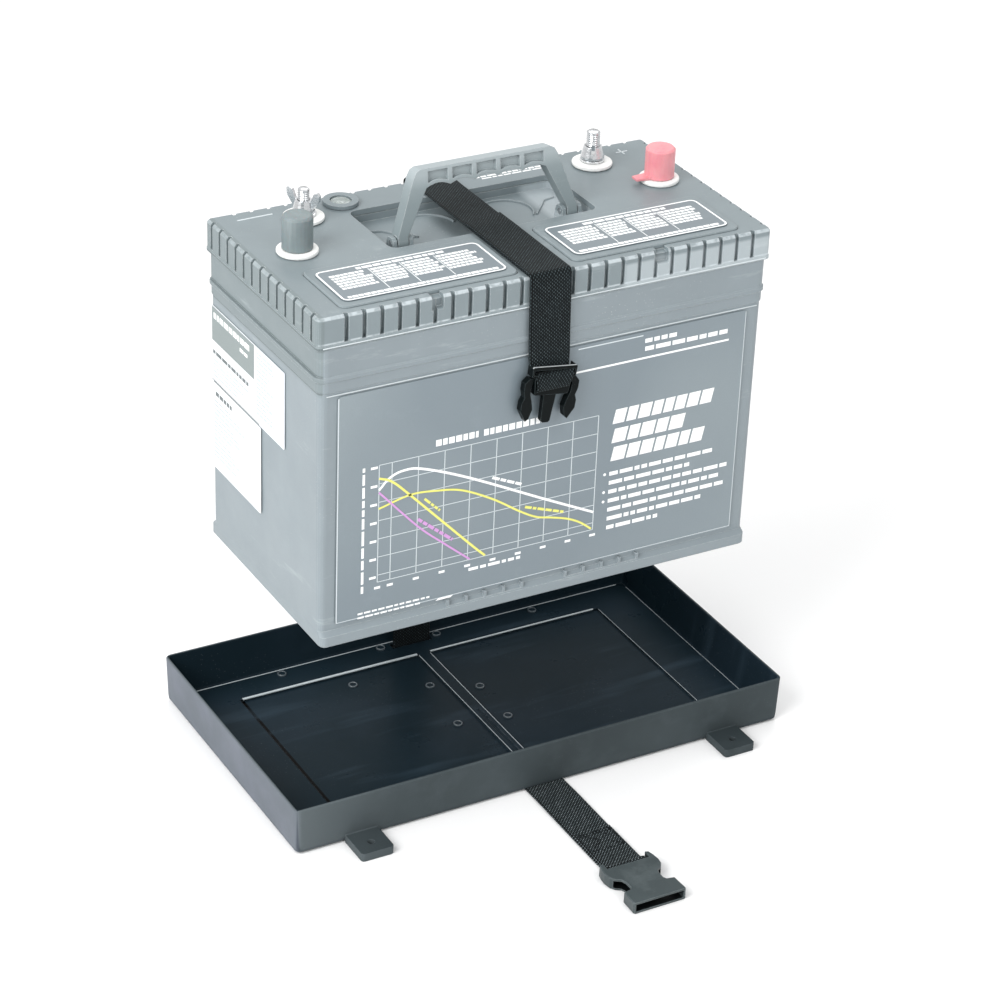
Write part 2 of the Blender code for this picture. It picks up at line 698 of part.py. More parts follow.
def build_charge_eye(ring_look, lens_look, body):
    x, y = CHARGE_EYE
    low = LID_TOP + GAP
    piece("charge_eye_bezel", tube(x, y, BEZEL_RADIUS, 0.0074, low, low + 0.0026), ring_look, body)
    lens = [(0.0070, low), (0.0070, low + 0.0016), (0.0050, low + 0.0023), (0.0025, low + 0.0026)]
    piece("charge_eye_lens", turned(x, y, lens), lens_look, body)


def build_handle(look, steel, handle_body, lid_body):
    """The handle stands upright in its own frame, with its pivots on the local X axis."""
    depth = HANDLE_HALF_DEPTH
    half = HANDLE_HALF_TOP
    grip_half = half - 0.0075
    count = GRIP_SCALLOPS
    width = 2 * grip_half / count

    def underside(x):
        t = (x + grip_half) / width
        return GRIP_UNDERSIDE + 0.0024 * abs(sin(pi * t))

    samples = [grip_half - 2 * grip_half * i / (count * 6) for i in range(count * 6 + 1)]
    inner_foot, outer_foot = PIVOT_X - 0.0037, PIVOT_X + 0.0037
    outline = [
        (outer_foot, 0.0),
        (outer_foot, 0.004),
        (half + 0.0018, HANDLE_HEIGHT - 0.0060),
        (half - 0.0008, HANDLE_HEIGHT - 0.0015),
        (half - 0.0040, HANDLE_HEIGHT),
    ]
    outline += [(-x, z) for x, z in reversed(outline)]
    outline += [(-inner_foot, 0.0), (-inner_foot, 0.004)]
    outline += [(x, underside(x)) for x in reversed(samples)]
    outline += [(inner_foot, 0.004), (inner_foot, 0.0)]
    frame = prism(outline, -depth, depth, "y")

    eyes = []
    bores = []
    for side in (-1, 1):
        x0, x1 = sorted((side * inner_foot, side * outer_foot))
        eyes.append(prism(circle(0, 0, 0.005, 20), x0, x1, "x"))
        bores.append(prism(circle(0, 0, PIN_RADIUS + GAP, 16), x0 - 0.001, x1 + 0.001, "x"))

    pockets = []
    for k in range(count):
        x0 = -grip_half + width * k + 0.0016
        x1 = x0 + width - 0.0032
        lower = [x0 + (x1 - x0) * i / 4 for i in range(5)]
        pocket = [(x, underside(x) + 0.0024) for x in lower]
        pocket += [(x1, HANDLE_HEIGHT - 0.0022), (x0, HANDLE_HEIGHT - 0.0022)]
        for low, high in ((-depth - 0.001, -depth + 0.003), (depth - 0.003, depth + 0.001)):
            pockets.append(prism(pocket, low, high, "y"))
    piece("carry_handle", frame, look, handle_body, joins=[together(*eyes)],
          cuts=[together(*bores), together(*pockets)], local=True)

    for name, side in (("left", -1), ("right", 1)):
        x0, x1 = sorted((side * EAR_SPANS[0][0], side * EAR_SPANS[1][1]))
        pin = prism(circle(PIVOT_Y, PIVOT_Z, PIN_RADIUS, 16), x0, x1, "x")
        piece(f"handle_pin_{name}", pin, steel, lid_body)


def build_lid_strap(look, body):
    x0, x1 = LID_STRAP_X - STRAP_WIDTH / 2, LID_STRAP_X + STRAP_WIDTH / 2
    low = LID_TOP + GAP
    front_y = -LID_WIDTH / 2 - 0.0004
    piece("strap_top", box(x0, x1, front_y, TOP_BACK_Y, low, low + WEB), look, body)
    low += WEB + GAP
    piece("strap_loose_end", box(x0 - 0.0003, x1 - 0.0003, front_y, LOOSE_END_Y, low, low + WEB), look, body)


# ---------------------------------------------------------------- hanging end and plug

def build_drop(web, plastic, body, plug_body, left_body, right_body):
    x0, x1 = LID_STRAP_X - STRAP_WIDTH / 2, LID_STRAP_X + STRAP_WIDTH / 2
    hinge = body.matrix_world.translation
    half = WEB
    turns = [pi * k / 6 for k in range(7)]
    outline = [(hinge.y + half * cos(t), hinge.z + half * sin(t)) for t in turns]
    outline += [(hinge.y - half, DROP_END_Z), (hinge.y + half, DROP_END_Z)]
    piece("strap_drop", prism(outline, x0, x1, "x"), web, body)

    frame = prism(mirrored(PLUG_SIDE), -0.0034, 0.0034, "y")
    tongue = prism(mirrored(TONGUE_SIDE), -0.0019, 0.0019, "y")
    slots = [
        box(-0.0152, 0.0152, -0.01, 0.01, -0.0058, -0.0023),
        box(-0.0121, 0.0121, -0.01, 0.01, -0.0146, -0.0104),
    ]
    mouth = box(-0.0152, 0.0152, -0.0020, 0.0045, -0.0050, 0.001)
    piece("buckle_plug", frame, plastic, plug_body, joins=[tongue], cuts=[together(*slots), mouth],
          local=True)

    for name, sign, prong_body in (("left", -1, left_body), ("right", 1, right_body)):
        outline = [(sign * (x - PRONG_HINGE[0]), z - PRONG_HINGE[1]) for x, z in PRONG]
        piece(f"buckle_prong_{name}", prism(outline, -0.0026, 0.0026, "y"), plastic, prong_body, local=True)


def main():
    clear_scene()
    tray_look = new_material("tray plastic", (0.012, 0.013, 0.015), 0.42)
    web_look = new_material("black webbing", (0.008, 0.009, 0.010), 0.85)
    buckle_look = new_material("buckle plastic", (0.014, 0.016, 0.017), 0.35)
    case_look = new_material("battery plastic", (0.27, 0.32, 0.35), 0.40)
    grey_look = new_material("grey cap", (0.22, 0.26, 0.27), 0.5)
    red_look = new_material("red cap", (0.80, 0.20, 0.24), 0.5)
    lead_look = new_material("lead", (0.30, 0.31, 0.33), 0.45, 1.0)
    steel_look = new_material("bright steel", (0.75, 0.76, 0.78), 0.25, 1.0)
    felt_look = new_material("white felt", (0.82, 0.83, 0.82), 0.9)
    paper_look = new_material("printed label", (0.22, 0.27, 0.30), 0.45)
    white_look = new_material("white label", (0.72, 0.75, 0.75), 0.5)
    lens_look = new_material("clear lens", (0.75, 0.80, 0.80), 0.15)

    tray_body = new_empty("tray_frame")
    build_tray(tray_look, tray_body)
    build_strap_base(web_look, tray_body)
    tail_body = new_empty("tail_frame", (STRAP_X, STRAP_HINGE_Y, WEB / 2), tray_body)
    build_tail(web_look, buckle_look, tail_body)

    battery = new_empty("battery_frame", (0, 0, BATTERY_Z), tray_body)
    cells = build_case(case_look, lead_look, battery)
    build_lid(case_look, battery, cells)
    for name, side in (("left", -1), ("right", 1)):
        cover_body = new_empty(f"vent_{name}_frame", (side * 0.085, VENT_Y, LID_TOP), battery)
        build_vent_cover(name, side, cells, case_look, paper_look, cover_body)
    build_case_labels(white_look, battery)
    build_terminals(lead_look, steel_look, felt_look, battery)
    nut_seat = LID_TOP + 3 * GAP + WASHER_THICKNESS + FLANGE_HEIGHT + 0.0002
    for name, place, angle in (("negative", STUD_NEGATIVE, -60), ("positive", STUD_POSITIVE, 60)):
        nut_body = new_empty(f"wing_nut_{name}_frame", (*place, nut_seat), battery)
        build_wing_nut(name, radians(angle), steel_look, nut_body)
    cap_seat = LID_TOP + 2 * GAP + WASHER_THICKNESS
    for name, place, tab, look in (
        ("negative", POST_NEGATIVE, False, grey_look),
        ("positive", POST_POSITIVE, True, red_look),
    ):
        cap_body = new_empty(f"post_cap_{name}_frame", (*place, cap_seat), battery)
        build_post_cap(name, tab, look, cap_body)
    build_charge_eye(case_look, lens_look, battery)
    handle_body = new_empty("handle_frame", (0, PIVOT_Y, PIVOT_Z), battery, (-HANDLE_TILT, 0, 0))
    build_handle(case_look, steel_look, handle_body, battery)
    build_lid_strap(web_look, battery)

    drop_hinge = (LID_STRAP_X, -LID_WIDTH / 2 - 0.0007 - WEB, LID_TOP + GAP + WEB)
    drop_body = new_empty("drop_frame", drop_hinge, battery)
    plug_body = new_empty("plug_frame", (PLUG_X, PLUG_Y, PLUG_Z), drop_body, (0, PLUG_TILT, 0))
    prong_bodies = []
    for name, sign in (("left", -1), ("right", 1)):
        frame = new_empty(f"prong_{name}_frame", (PLUG_X, PLUG_Y, PLUG_Z), plug_body)
        frame.location = (sign * PRONG_HINGE[0], 0, PRONG_HINGE[1])
        prong_bodies.append(frame)
    bpy.context.view_layer.update()
    build_drop(web_look, buckle_look, drop_body, plug_body, *prong_bodies)


main()
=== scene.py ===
"""Looks of the battery tray, its webbing strap and buckle, and the battery above it.

Metres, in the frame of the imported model: the origin is at the tray's middle on the floor, +X runs
along the tray's long side, -Y faces the wall that the buckled end of the strap comes out under.
"""

from math import cos, pi, radians, sin, tan

import bpy
import numpy as np
from mathutils import Matrix, Vector


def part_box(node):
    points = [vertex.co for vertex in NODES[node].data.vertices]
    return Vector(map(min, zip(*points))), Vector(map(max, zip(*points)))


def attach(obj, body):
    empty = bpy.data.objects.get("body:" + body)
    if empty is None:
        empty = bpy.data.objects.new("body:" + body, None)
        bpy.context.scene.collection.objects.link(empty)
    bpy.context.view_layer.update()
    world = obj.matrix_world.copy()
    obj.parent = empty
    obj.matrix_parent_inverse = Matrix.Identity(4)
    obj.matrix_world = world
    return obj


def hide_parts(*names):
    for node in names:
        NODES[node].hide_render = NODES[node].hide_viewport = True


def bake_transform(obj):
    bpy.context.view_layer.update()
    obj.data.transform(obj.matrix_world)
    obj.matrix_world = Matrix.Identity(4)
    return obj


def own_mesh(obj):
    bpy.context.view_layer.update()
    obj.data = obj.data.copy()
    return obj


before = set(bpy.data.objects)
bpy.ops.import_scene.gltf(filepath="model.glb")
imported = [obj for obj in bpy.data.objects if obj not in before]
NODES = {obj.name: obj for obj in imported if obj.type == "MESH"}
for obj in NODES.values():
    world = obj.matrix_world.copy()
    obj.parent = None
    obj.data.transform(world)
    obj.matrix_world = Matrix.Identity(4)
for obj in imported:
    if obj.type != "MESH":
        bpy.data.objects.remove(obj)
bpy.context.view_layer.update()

MM = 0.001

# Camera
LENS = 114.14
CAMERA_TARGET = Vector((0.01596, 0, 0.1668))
CAMERA_DISTANCE = 2.1867
CAMERA_AZIMUTH = radians(-29.94)
CAMERA_ELEVATION = radians(29.08)
CAMERA_ROLL = radians(2.325)

# Battery
STUD_RADII = {"negative": 0.004, "positive": 0.0048}
# Heights of the painted shadow lines under the ledges across the battery's left end
END_SHADOW_LINES = (0.325, 0.3372, 0.3572)

# Tray: half of its width over the walls, and its floor's panels
TRAY_HALF_WIDTH = 0.1079
FLOOR, RECESS = 0.005, 0.0033
PANEL_INNER, PANEL_OUTER, PANEL_HALF = 0.0045, 0.147, 0.075
WALL_FOOT = 0.0986

# Webbing
WEB = 0.0014
WEAVE_COLUMNS = 24
PICK = 0.00125
WEAVE_RELIEF = 0.00024


# ---- Camera and stage

def build_camera():
    back = Vector((sin(CAMERA_AZIMUTH) * cos(CAMERA_ELEVATION),
                   -cos(CAMERA_AZIMUTH) * cos(CAMERA_ELEVATION), sin(CAMERA_ELEVATION)))
    right = (-back).cross(Vector((0, 0, 1))).normalized()
    up = right.cross(-back)
    rolled_right = right * cos(CAMERA_ROLL) + up * sin(CAMERA_ROLL)
    rolled_up = up * cos(CAMERA_ROLL) - right * sin(CAMERA_ROLL)
    data = bpy.data.cameras.new("camera")
    data.lens = LENS
    data.sensor_width = 36
    data.clip_start = 0.05
    data.clip_end = 50
    camera = bpy.data.objects.new("camera", data)
    bpy.context.scene.collection.objects.link(camera)
    turn = Matrix((rolled_right, rolled_up, back)).transposed().to_4x4()
    camera.matrix_world = Matrix.Translation(CAMERA_TARGET + back * CAMERA_DISTANCE) @ turn
    bpy.context.scene.camera = camera


def area_light(name, direction, distance, size, share):
    """A soft square light; share is its light on a facing surface next to the white surroundings."""
    data = bpy.data.lights.new(name, "AREA")
    data.size = size
    data.energy = share * (pi * distance) ** 2
    lamp = bpy.data.objects.new(name, data)
    bpy.context.scene.collection.objects.link(lamp)
    toward = Vector(direction).normalized()
    lamp.location = Vector((0, 0, 0.2)) + toward * distance
    lamp.rotation_euler = toward.to_track_quat("Z", "Y").to_euler()


def build_stage():
    scene = bpy.context.scene
    scene.view_settings.view_transform = "Standard"
    world = bpy.data.worlds.new("studio")
    world.use_nodes = True
    background = world.node_tree.nodes["Background"]
    background.inputs["Color"].default_value = (1, 1, 1, 1)
    background.inputs["Strength"].default_value = 0.78
    scene.world = world
    area_light("key", (-0.8, -0.3, 0.62), 1.8, 1.1, 0.85)
    area_light("front", (0.15, -0.85, 0.55), 2.2, 0.8, 0.16)
    area_light("overhead", (0.35, 0.55, 0.95), 2.4, 1.5, 0.3)

    floor = mesh_object("floor", [(-6, -6, 0), (6, -6, 0), (6, 6, 0), (-6, 6, 0)], [(0, 1, 2, 3)],
                        floor_look(), smooth=False)
    floor.location.z = -0.0002


# ---- Materials

def rgb(red, green, blue):
    """An sRGB colour of 0 to 255 as linear values."""
    return tuple(c / 255 / 12.92 if c <= 10 else ((c / 255 + 0.055) / 1.055) ** 2.4
                 for c in (red, green, blue))


def shade(colour, factor, lift=0):
    return tuple(min(1, c * factor + lift) for c in colour)


class Look:
    """A Principled material, with short ways to add nodes to it."""

    def __init__(self, name, colour, roughness, **sockets):
        self.material = bpy.data.materials.new(name)
        self.material.use_nodes = True
        self.tree = self.material.node_tree
        self.shader = self.tree.nodes["Principled BSDF"]
        self.colour = self.rgba(colour)
        self.roughness = roughness
        self.shader.inputs["Base Color"].default_value = self.colour
        self.shader.inputs["Roughness"].default_value = roughness
        for socket, value in sockets.items():
            self.shader.inputs[socket.replace("_", " ")].default_value = value
        self.place = self.tree.nodes.new("ShaderNodeTexCoord").outputs["Object"]
        self.normal = None

    @staticmethod
    def rgba(colour):
        return (*colour, 1) if len(colour) == 3 else colour

    def put(self, value, socket):
        if isinstance(value, bpy.types.NodeSocket):
            self.tree.links.new(value, socket)
        else:
            socket.default_value = value

    def node(self, kind, inputs=(), **settings):
        made = self.tree.nodes.new("ShaderNode" + kind)
        for key, value in settings.items():
            setattr(made, key, value)
        for socket, value in dict(inputs).items():
            self.put(value, made.inputs[socket])
        return made

    def stretched(self, scale):
        return self.node("Mapping", {"Vector": self.place, "Scale": scale}).outputs["Vector"]

    def coordinates(self):
        return self.node("SeparateXYZ", {"Vector": self.place}).outputs

    def facing(self):
        """The surface normal's x, y and z."""
        normal = self.node("NewGeometry").outputs["Normal"]
        return self.node("SeparateXYZ", {"Vector": normal}).outputs

    def noise(self, scale, detail=3, place=None, rough=0.55):
        inputs = {"Vector": place or self.place, "Scale": scale, "Detail": detail, "Roughness": rough}
        return self.node("TexNoise", inputs).outputs["Fac"]

    def cells(self, scale):
        return self.node("TexVoronoi", {"Vector": self.place, "Scale": scale}).outputs["Distance"]

    def span(self, value, low, high, out_low=0, out_high=1):
        inputs = {"Value": value, "From Min": low, "From Max": high, "To Min": out_low, "To Max": out_high}
        return self.node("MapRange", inputs).outputs["Result"]

    def maths(self, operation, a, b=0):
        return self.node("Math", {0: a, 1: b}, operation=operation).outputs["Value"]

    def away(self, value, centre):
        return self.maths("ABSOLUTE", self.maths("SUBTRACT", value, centre))

    def times(self, *factors):
        """The product of masks, numbers and ramps, each ramp a tuple of what span takes."""
        first, *others = (self.span(*f) if isinstance(f, tuple) else f for f in factors)
        for other in others:
            first = self.maths("MULTIPLY", first, other)
        return first

    def mix(self, share, a, b):
        made = self.tree.nodes.new("ShaderNodeMix")
        made.data_type = "RGBA"
        self.put(share, made.inputs[0])
        for value, index in ((a, 6), (b, 7)):
            self.put(self.rgba(value) if isinstance(value, tuple) else value, made.inputs[index])
        return made.outputs[2]

    def tint(self, colour, *factors):
        """Mixes another colour in where the product of the factors is 1."""
        self.colour = self.mix(self.times(*factors), self.colour, colour)

    def blotches(self, scale, detail, low, high, amount, colour):
        """Mixes another colour in where a noise is high."""
        self.tint(colour, (self.noise(scale, detail), low, high, 0, amount))

    def soft_edges(self, radius):
        """Rounds the edges' shading and returns 1 on them, 0 on flats."""
        bevel = self.node("Bevel", {"Radius": radius}, samples=4)
        self.normal = bevel.outputs["Normal"]
        flat = self.node("NewGeometry").outputs["Normal"]
        dot = self.node("VectorMath", {0: bevel.outputs["Normal"], 1: flat}, operation="DOT_PRODUCT")
        return self.span(dot.outputs["Value"], 0.985, 0.8)

    def bump(self, height, strength, distance):
        inputs = {"Height": height, "Strength": strength, "Distance": distance}
        if self.normal is not None:
            inputs["Normal"] = self.normal
        self.normal = self.node("Bump", inputs).outputs["Normal"]

    def done(self):
        if isinstance(self.colour, bpy.types.NodeSocket):
            self.put(self.colour, self.shader.inputs["Base Color"])
        if isinstance(self.roughness, bpy.types.NodeSocket):
            self.put(self.roughness, self.shader.inputs["Roughness"])
        if self.normal is not None:
            self.put(self.normal, self.shader.inputs["Normal"])
        return self.material


def floor_look():
    look = Look("studio floor", (0.93, 0.93, 0.93), 0.9, Specular_IOR_Level=0.1)
    look.tint((0.915, 0.915, 0.915), (look.noise(1.2), 0.35, 0.65))
    return look.done()


def moulded_look(name, colour, roughness, grain, wear, dust, edge=0.0005, variation=0.08, specular=0.4,
                 edge_wear=0.75, marks=None):
    """Moulded plastic: pebbled grain, uneven tone, worn edges, scuffs and a little dust."""
    look = Look(name, colour, roughness, Specular_IOR_Level=specular)
    look.blotches(9, 4, 0.35, 0.65, 1, shade(colour, 1 - variation))
    look.blotches(55, 3, 0.5, 0.8, 0.5, shade(colour, 1 + variation))
    # marks adds a part's painted shade and painted highlights
    if marks:
        marks(look)
    edges = look.soft_edges(edge)
    ragged = look.span(look.noise(300, 4), 0.35, 0.58, 0.35, 1)
    look.tint(wear, edges, ragged, edge_wear)
    scuffs = look.span(look.noise(14, 6, look.stretched((1, 1, 6)), 0.7), 0.6, 0.74)
    look.tint(wear, scuffs, 0.22)
    specks = look.span(look.cells(420), 0.16, 0.05)
    patches = look.span(look.noise(16, 2), 0.5, 0.66)
    look.tint(dust, specks, patches, 0.5)
    worn = look.maths("ADD", look.span(look.noise(30, 5), 0.3, 0.7, -0.06, 0.08), roughness)
    look.roughness = look.maths("ADD", worn, look.times(scuffs, 0.1))
    look.bump(look.span(look.cells(grain), 0.1, 0.8), 0.1, 0.00012)
    look.bump(look.noise(60, 2), 0.12, 0.0006)
    return look.done()


def simple_look(name, colour, roughness, blotches, bump, gloss=None, edge=None, **sockets):
    """A material with a few tones of noise, an uneven gloss and a bump."""
    look = Look(name, colour, roughness, **sockets)
    for row in blotches:
        look.blotches(*row)
    if edge:
        look.soft_edges(edge)
    if gloss:
        scale, low, high, out_low, out_high = gloss
        look.roughness = look.span(look.noise(scale, 4), low, high, out_low, out_high)
    scale, detail, strength, distance = bump
    look.bump(look.noise(scale, detail), strength, distance)
    return look.done()


def ink_look(name, colour):
    """Screen-printed ink: not quite even, with tiny pinholes."""
    tones = ((900, 4, 0.55, 0.75, 0.35, shade(colour, 0.78)),
             (40, 3, 0.5, 0.7, 0.2, shade(colour, 0.88)))
    return simple_look(name, colour, 0.45, tones, (1300, 3, 0.2, 0.00005))


def rim_shade_and_highlights(look):
    """Painted shade on the left end and in the notches of the lid's rim, painted highlights on the teeth's
    tops and feet, and a painted highlight on the right side of the handle's well.
    """
    end_shade(look)
    low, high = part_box("battery_lid")
    x, y, z = look.coordinates()
    # Painted highlight over the lid's right part below its top, on the right side of the handle's well
    look.tint(rgb(184, 193, 197), (x, 0.05, 0.056), (z, high.z - 0.004, high.z - 0.006), 0.6)
    # Painted shade in the notches between the rim's teeth
    margin = look.maths("MAXIMUM", look.maths("SUBTRACT", look.maths("ABSOLUTE", x), high.x),
                        look.maths("SUBTRACT", look.maths("ABSOLUTE", y), high.y))
    above_foot = look.span(z, low.z + 0.003, low.z + 0.0034)
    look.tint(rgb(64, 74, 78), (margin, -0.0036, -0.0034), (margin, -0.0016, -0.0018),
              (z, high.z - 0.002, high.z - 0.0026), above_foot, 0.35)
    # Painted highlights on the teeth's tops and feet, weaker towards the left end
    teeth = look.span(margin, -0.0022, -0.0018)
    highlight_strength = look.times((look.noise(240, 3), 0.34, 0.56, 0.2, 0.7),
                        (x, low.x + 0.003, low.x + 0.006, 0.45, 1))
    tops = look.span(z, high.z - 0.0022, high.z - 0.0014)
    feet = look.times(above_foot, (z, low.z + 0.0046, low.z + 0.004),
                      (y, low.y + 0.002, low.y + 0.0016))
    look.tint(rgb(198, 207, 211), look.maths("MAXIMUM", tops, feet), teeth, highlight_strength)


def end_shade(look):
    """Painted shade on the left end above the case's shoulder, and painted shadow lines under the ledges
    across it.
    """
    x, _, z = look.coordinates()
    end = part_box("battery_case")[0].x
    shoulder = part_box("front_label")[1].z
    left = look.span(x, end + 0.005, end + 0.004)
    # Painted shade: the left end is darker above the shoulder
    look.tint(rgb(112, 123, 125), left, (z, shoulder, shoulder + 0.004), 0.75)
    # Painted shadow lines under the ledges
    for level in END_SHADOW_LINES:
        shadow_line = look.span(look.away(z, level), 0.0011, 0.0005)
        look.tint(rgb(74, 86, 88), shadow_line, left, 0.6)


def plug_lip_highlight(look):
    """A painted highlight along the front of the plug's top."""
    _, y, z = look.coordinates()
    low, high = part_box("buckle_plug")
    highlight_strength = look.times((look.facing()["Z"], 0.5, 0.8), (z, high.z - 0.006, high.z - 0.0052),
                        (y, low.y + 0.0015, low.y + 0.0012), 0.9)
    look.tint(rgb(206, 211, 213), highlight_strength)


def handle_highlight_and_shade(look):
    """Painted highlight on the handle's grip, paler than its legs, and painted shade on the legs."""
    z = look.coordinates()["Z"]
    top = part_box("carry_handle")[1].z
    look.tint(rgb(176, 185, 188), (z, top - 0.013, top - 0.004, 0, 0.55))
    look.tint(rgb(120, 132, 135), (z, top - 0.013, top - 0.022, 0, 0.5))


def mouth_marks(look):
    """The unlit inside of the socket's mouth."""
    x, y, z = look.coordinates()
    low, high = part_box("buckle_socket")
    look.tint(rgb(3, 5, 6), (z, 0.0012, 0.0014), (z, 0.0072, 0.007), (y, low.y + 0.0002, low.y + 0.0004),
              look.times((x, low.x + 0.003, low.x + 0.0034), (x, high.x - 0.003, high.x - 0.0034)), 0.95)


def tray_look(half_length):
    """Black moulded plastic, painted paler outside as a painted reflection of the white surroundings, darker
    inside as painted shade, glossier inside, with a painted shadow along the left panel's step.
    """
    # The base colour is paler than the plastic: a painted reflection of the white surroundings
    look = Look("tray plastic", rgb(70, 78, 81), 0.5, Specular_IOR_Level=0.05)
    look.blotches(9, 4, 0.35, 0.65, 0.6, rgb(56, 63, 65))
    look.blotches(55, 3, 0.5, 0.8, 0.4, rgb(82, 90, 94))
    x, y, z = look.coordinates()
    across, deep = look.maths("ABSOLUTE", x), look.maths("ABSOLUTE", y)
    inside = look.times((across, half_length - 0.0012, half_length - 0.0018),
                        (deep, TRAY_HALF_WIDTH - 0.0012, TRAY_HALF_WIDTH - 0.0018),
                        (z, 0.0022, 0.0026))
    # Painted light and shade along the tray: paler towards the left end, darker about the middle
    look.tint(rgb(104, 112, 115), (x, -half_length, -half_length + 0.075, 0.6, 0))
    look.tint(rgb(48, 55, 57), (look.away(x, 0.035), 0.02, 0.08, 0.25, 0))
    face_x, _, face_z = look.facing()
    # Painted shade on the upward faces of the tabs
    tab_top_shade = look.times((deep, TRAY_HALF_WIDTH - 0.0002, TRAY_HALF_WIDTH + 0.0004),
                         (face_z, 0.6, 0.9), 0.55)
    look.tint(rgb(38, 46, 49), tab_top_shade)
    # Painted shade inside the tray
    look.tint(rgb(22, 35, 42), inside)
    # Painted reflections inside: pale bluish clouds
    cloudy_reflection = look.span(look.noise(7, 3, look.stretched((1, 1.6, 1)), 0.6), 0.46, 0.7, 0, 0.5)
    look.tint(rgb(34, 46, 56), inside, cloudy_reflection)
    # Painted shadow: black along the foot of the left panel's step
    look.tint((0, 0, 0), (x, -PANEL_OUTER + 0.0034, -PANEL_OUTER + 0.003),
              (x, -PANEL_OUTER - 0.0006, -PANEL_OUTER - 0.0002), (deep, 0.0752, 0.0748), inside)
    # The outer faces towards the left painted paler: painted light from the left, with a dusty haze
    look.tint(rgb(118, 123, 133), (face_x, -0.25, -0.95), (x, -half_length + 0.0056, -half_length + 0.004),
              (look.noise(30, 4), 0.3, 0.7, 0.45, 0.85))
    edges = look.soft_edges(0.0007)
    ragged = look.span(look.noise(260, 4), 0.38, 0.6, 0.2, 1)
    look.tint(rgb(112, 120, 126), edges, ragged, 0.55)
    # Painted reflections inside: soft slanted pale streaks
    slanted = look.node("Mapping", {"Vector": look.place, "Rotation": (0, 0, radians(32)),
                                    "Scale": (1, 7, 1)}).outputs["Vector"]
    reflection_streaks = look.span(look.noise(7, 3, slanted), 0.56, 0.72, 0, 0.55)
    look.tint(rgb(46, 60, 70), inside, reflection_streaks)
    look.tint(rgb(110, 114, 116), (look.cells(380), 0.15, 0.05), (look.noise(16, 2), 0.5, 0.66), 0.35)
    haze = look.span(look.noise(24, 5), 0.3, 0.7, -0.05, 0.09)
    look.roughness = look.maths("ADD", haze, look.span(inside, 0, 1, 0.5, 0.3))
    look.bump(look.span(look.cells(1300), 0.1, 0.8), 0.12, 0.00014)
    look.bump(look.noise(60, 2), 0.12, 0.0006)
    return look.done()


def webbing_look(name, crown, strand_highlight):
    look = Look(name, rgb(8, 15, 17), 0.75, Sheen_Weight=0.04, Specular_IOR_Level=0.12)
    raised = look.node("Attribute", attribute_name="relief").outputs["Fac"]
    uneven = look.span(look.noise(620, 2), 0.35, 0.65, 0.35, 1)
    # Painted highlights on the thread crowns, uneven from crown to crown
    look.tint(crown, (raised, 0.52, 0.98), uneven)
    # Painted shade in the hollows of the weave
    look.tint(rgb(2, 4, 5), (raised, 0.3, 0.05))
    fibre = look.noise(1100, 3, look.stretched((1, 0.25, 0.25)))
    # Pale fibres on the crowns: painted highlight
    look.tint(strand_highlight, (fibre, 0.5, 0.72), (raised, 0.5, 1, 0, 0.85))
    look.blotches(38, 4, 0.55, 0.75, 0.28, rgb(34, 42, 45))
    look.roughness = look.span(fibre, 0.3, 0.7, 0.6, 0.85)
    look.bump(fibre, 0.5, 0.00012)
    return look.done()


def thread_look():
    look = Look("black stitching thread", rgb(26, 33, 35), 0.6, Specular_IOR_Level=0.2)
    twist = look.noise(1500, 2, look.stretched((1, 0.4, 1)))
    look.tint(rgb(10, 14, 16), (twist, 0.45, 0.65))
    look.bump(twist, 0.5, 0.0001)
    return look.done()


def steel_look(name, colour, roughness, brush):
    look = Look(name, colour, roughness, Metallic=1)
    lines = look.noise(140, 4, look.stretched(brush))
    look.tint(shade(colour, 0.72), (lines, 0.45, 0.75, 0, 0.45))
    look.blotches(120, 5, 0.6, 0.78, 0.5, rgb(150, 146, 138))
    look.soft_edges(0.0003)
    look.roughness = look.span(lines, 0.3, 0.7, roughness - 0.06, roughness + 0.12)
    look.bump(lines, 0.15, 0.0001)
    return look.done()


def cap_look(name, colour, dusk):
    """Soft dipped vinyl with fine upright flow lines."""
    look = Look(name, colour, 0.42, Subsurface_Weight=0.12, Subsurface_Scale=0.004)
    look.blotches(70, 4, 0.45, 0.7, 0.55, dusk)
    flow = look.noise(260, 3, look.stretched((1, 1, 0.08)))
    look.tint(shade(colour, 1.5, 0.04), (flow, 0.55, 0.75, 0, 0.25))
    edges = look.soft_edges(0.0009)
    # Paler rounded edges: painted highlight
    look.tint(shade(colour, 1.3, 0.06), edges, 0.22)
    look.roughness = look.span(look.noise(60, 4), 0.3, 0.7, 0.34, 0.55)
    look.bump(flow, 0.25, 0.0003)
    return look.done()


def film_look(name, colour, roughness, coat, light=None):
    """Printed film on a flat face: a faint ripple, small bubbles, fine print dots and handling marks, and
    where a tone is given, large soft painted reflections.
    """
    look = Look(name, colour, roughness, Coat_Weight=coat, Coat_Roughness=0.22)
    # Large soft painted reflections in the given tone
    if light:
        look.blotches(4.2, 1, 0.4, 0.62, 0.8, light)
    dots = look.span(look.cells(1500), 0.2, 0.5)
    look.tint(shade(colour, 0.6), dots, 0.07)
    marks = look.span(look.noise(26, 6, look.stretched((1, 4, 1)), 0.7), 0.58, 0.72)
    look.tint(shade(colour, 1.4, 0.05), marks, 0.14)
    look.roughness = look.maths("ADD", look.times(marks, 0.16), roughness)
    look.bump(look.noise(75, 2), 0.1, 0.0005)
    return look.done()


# ---- Meshes

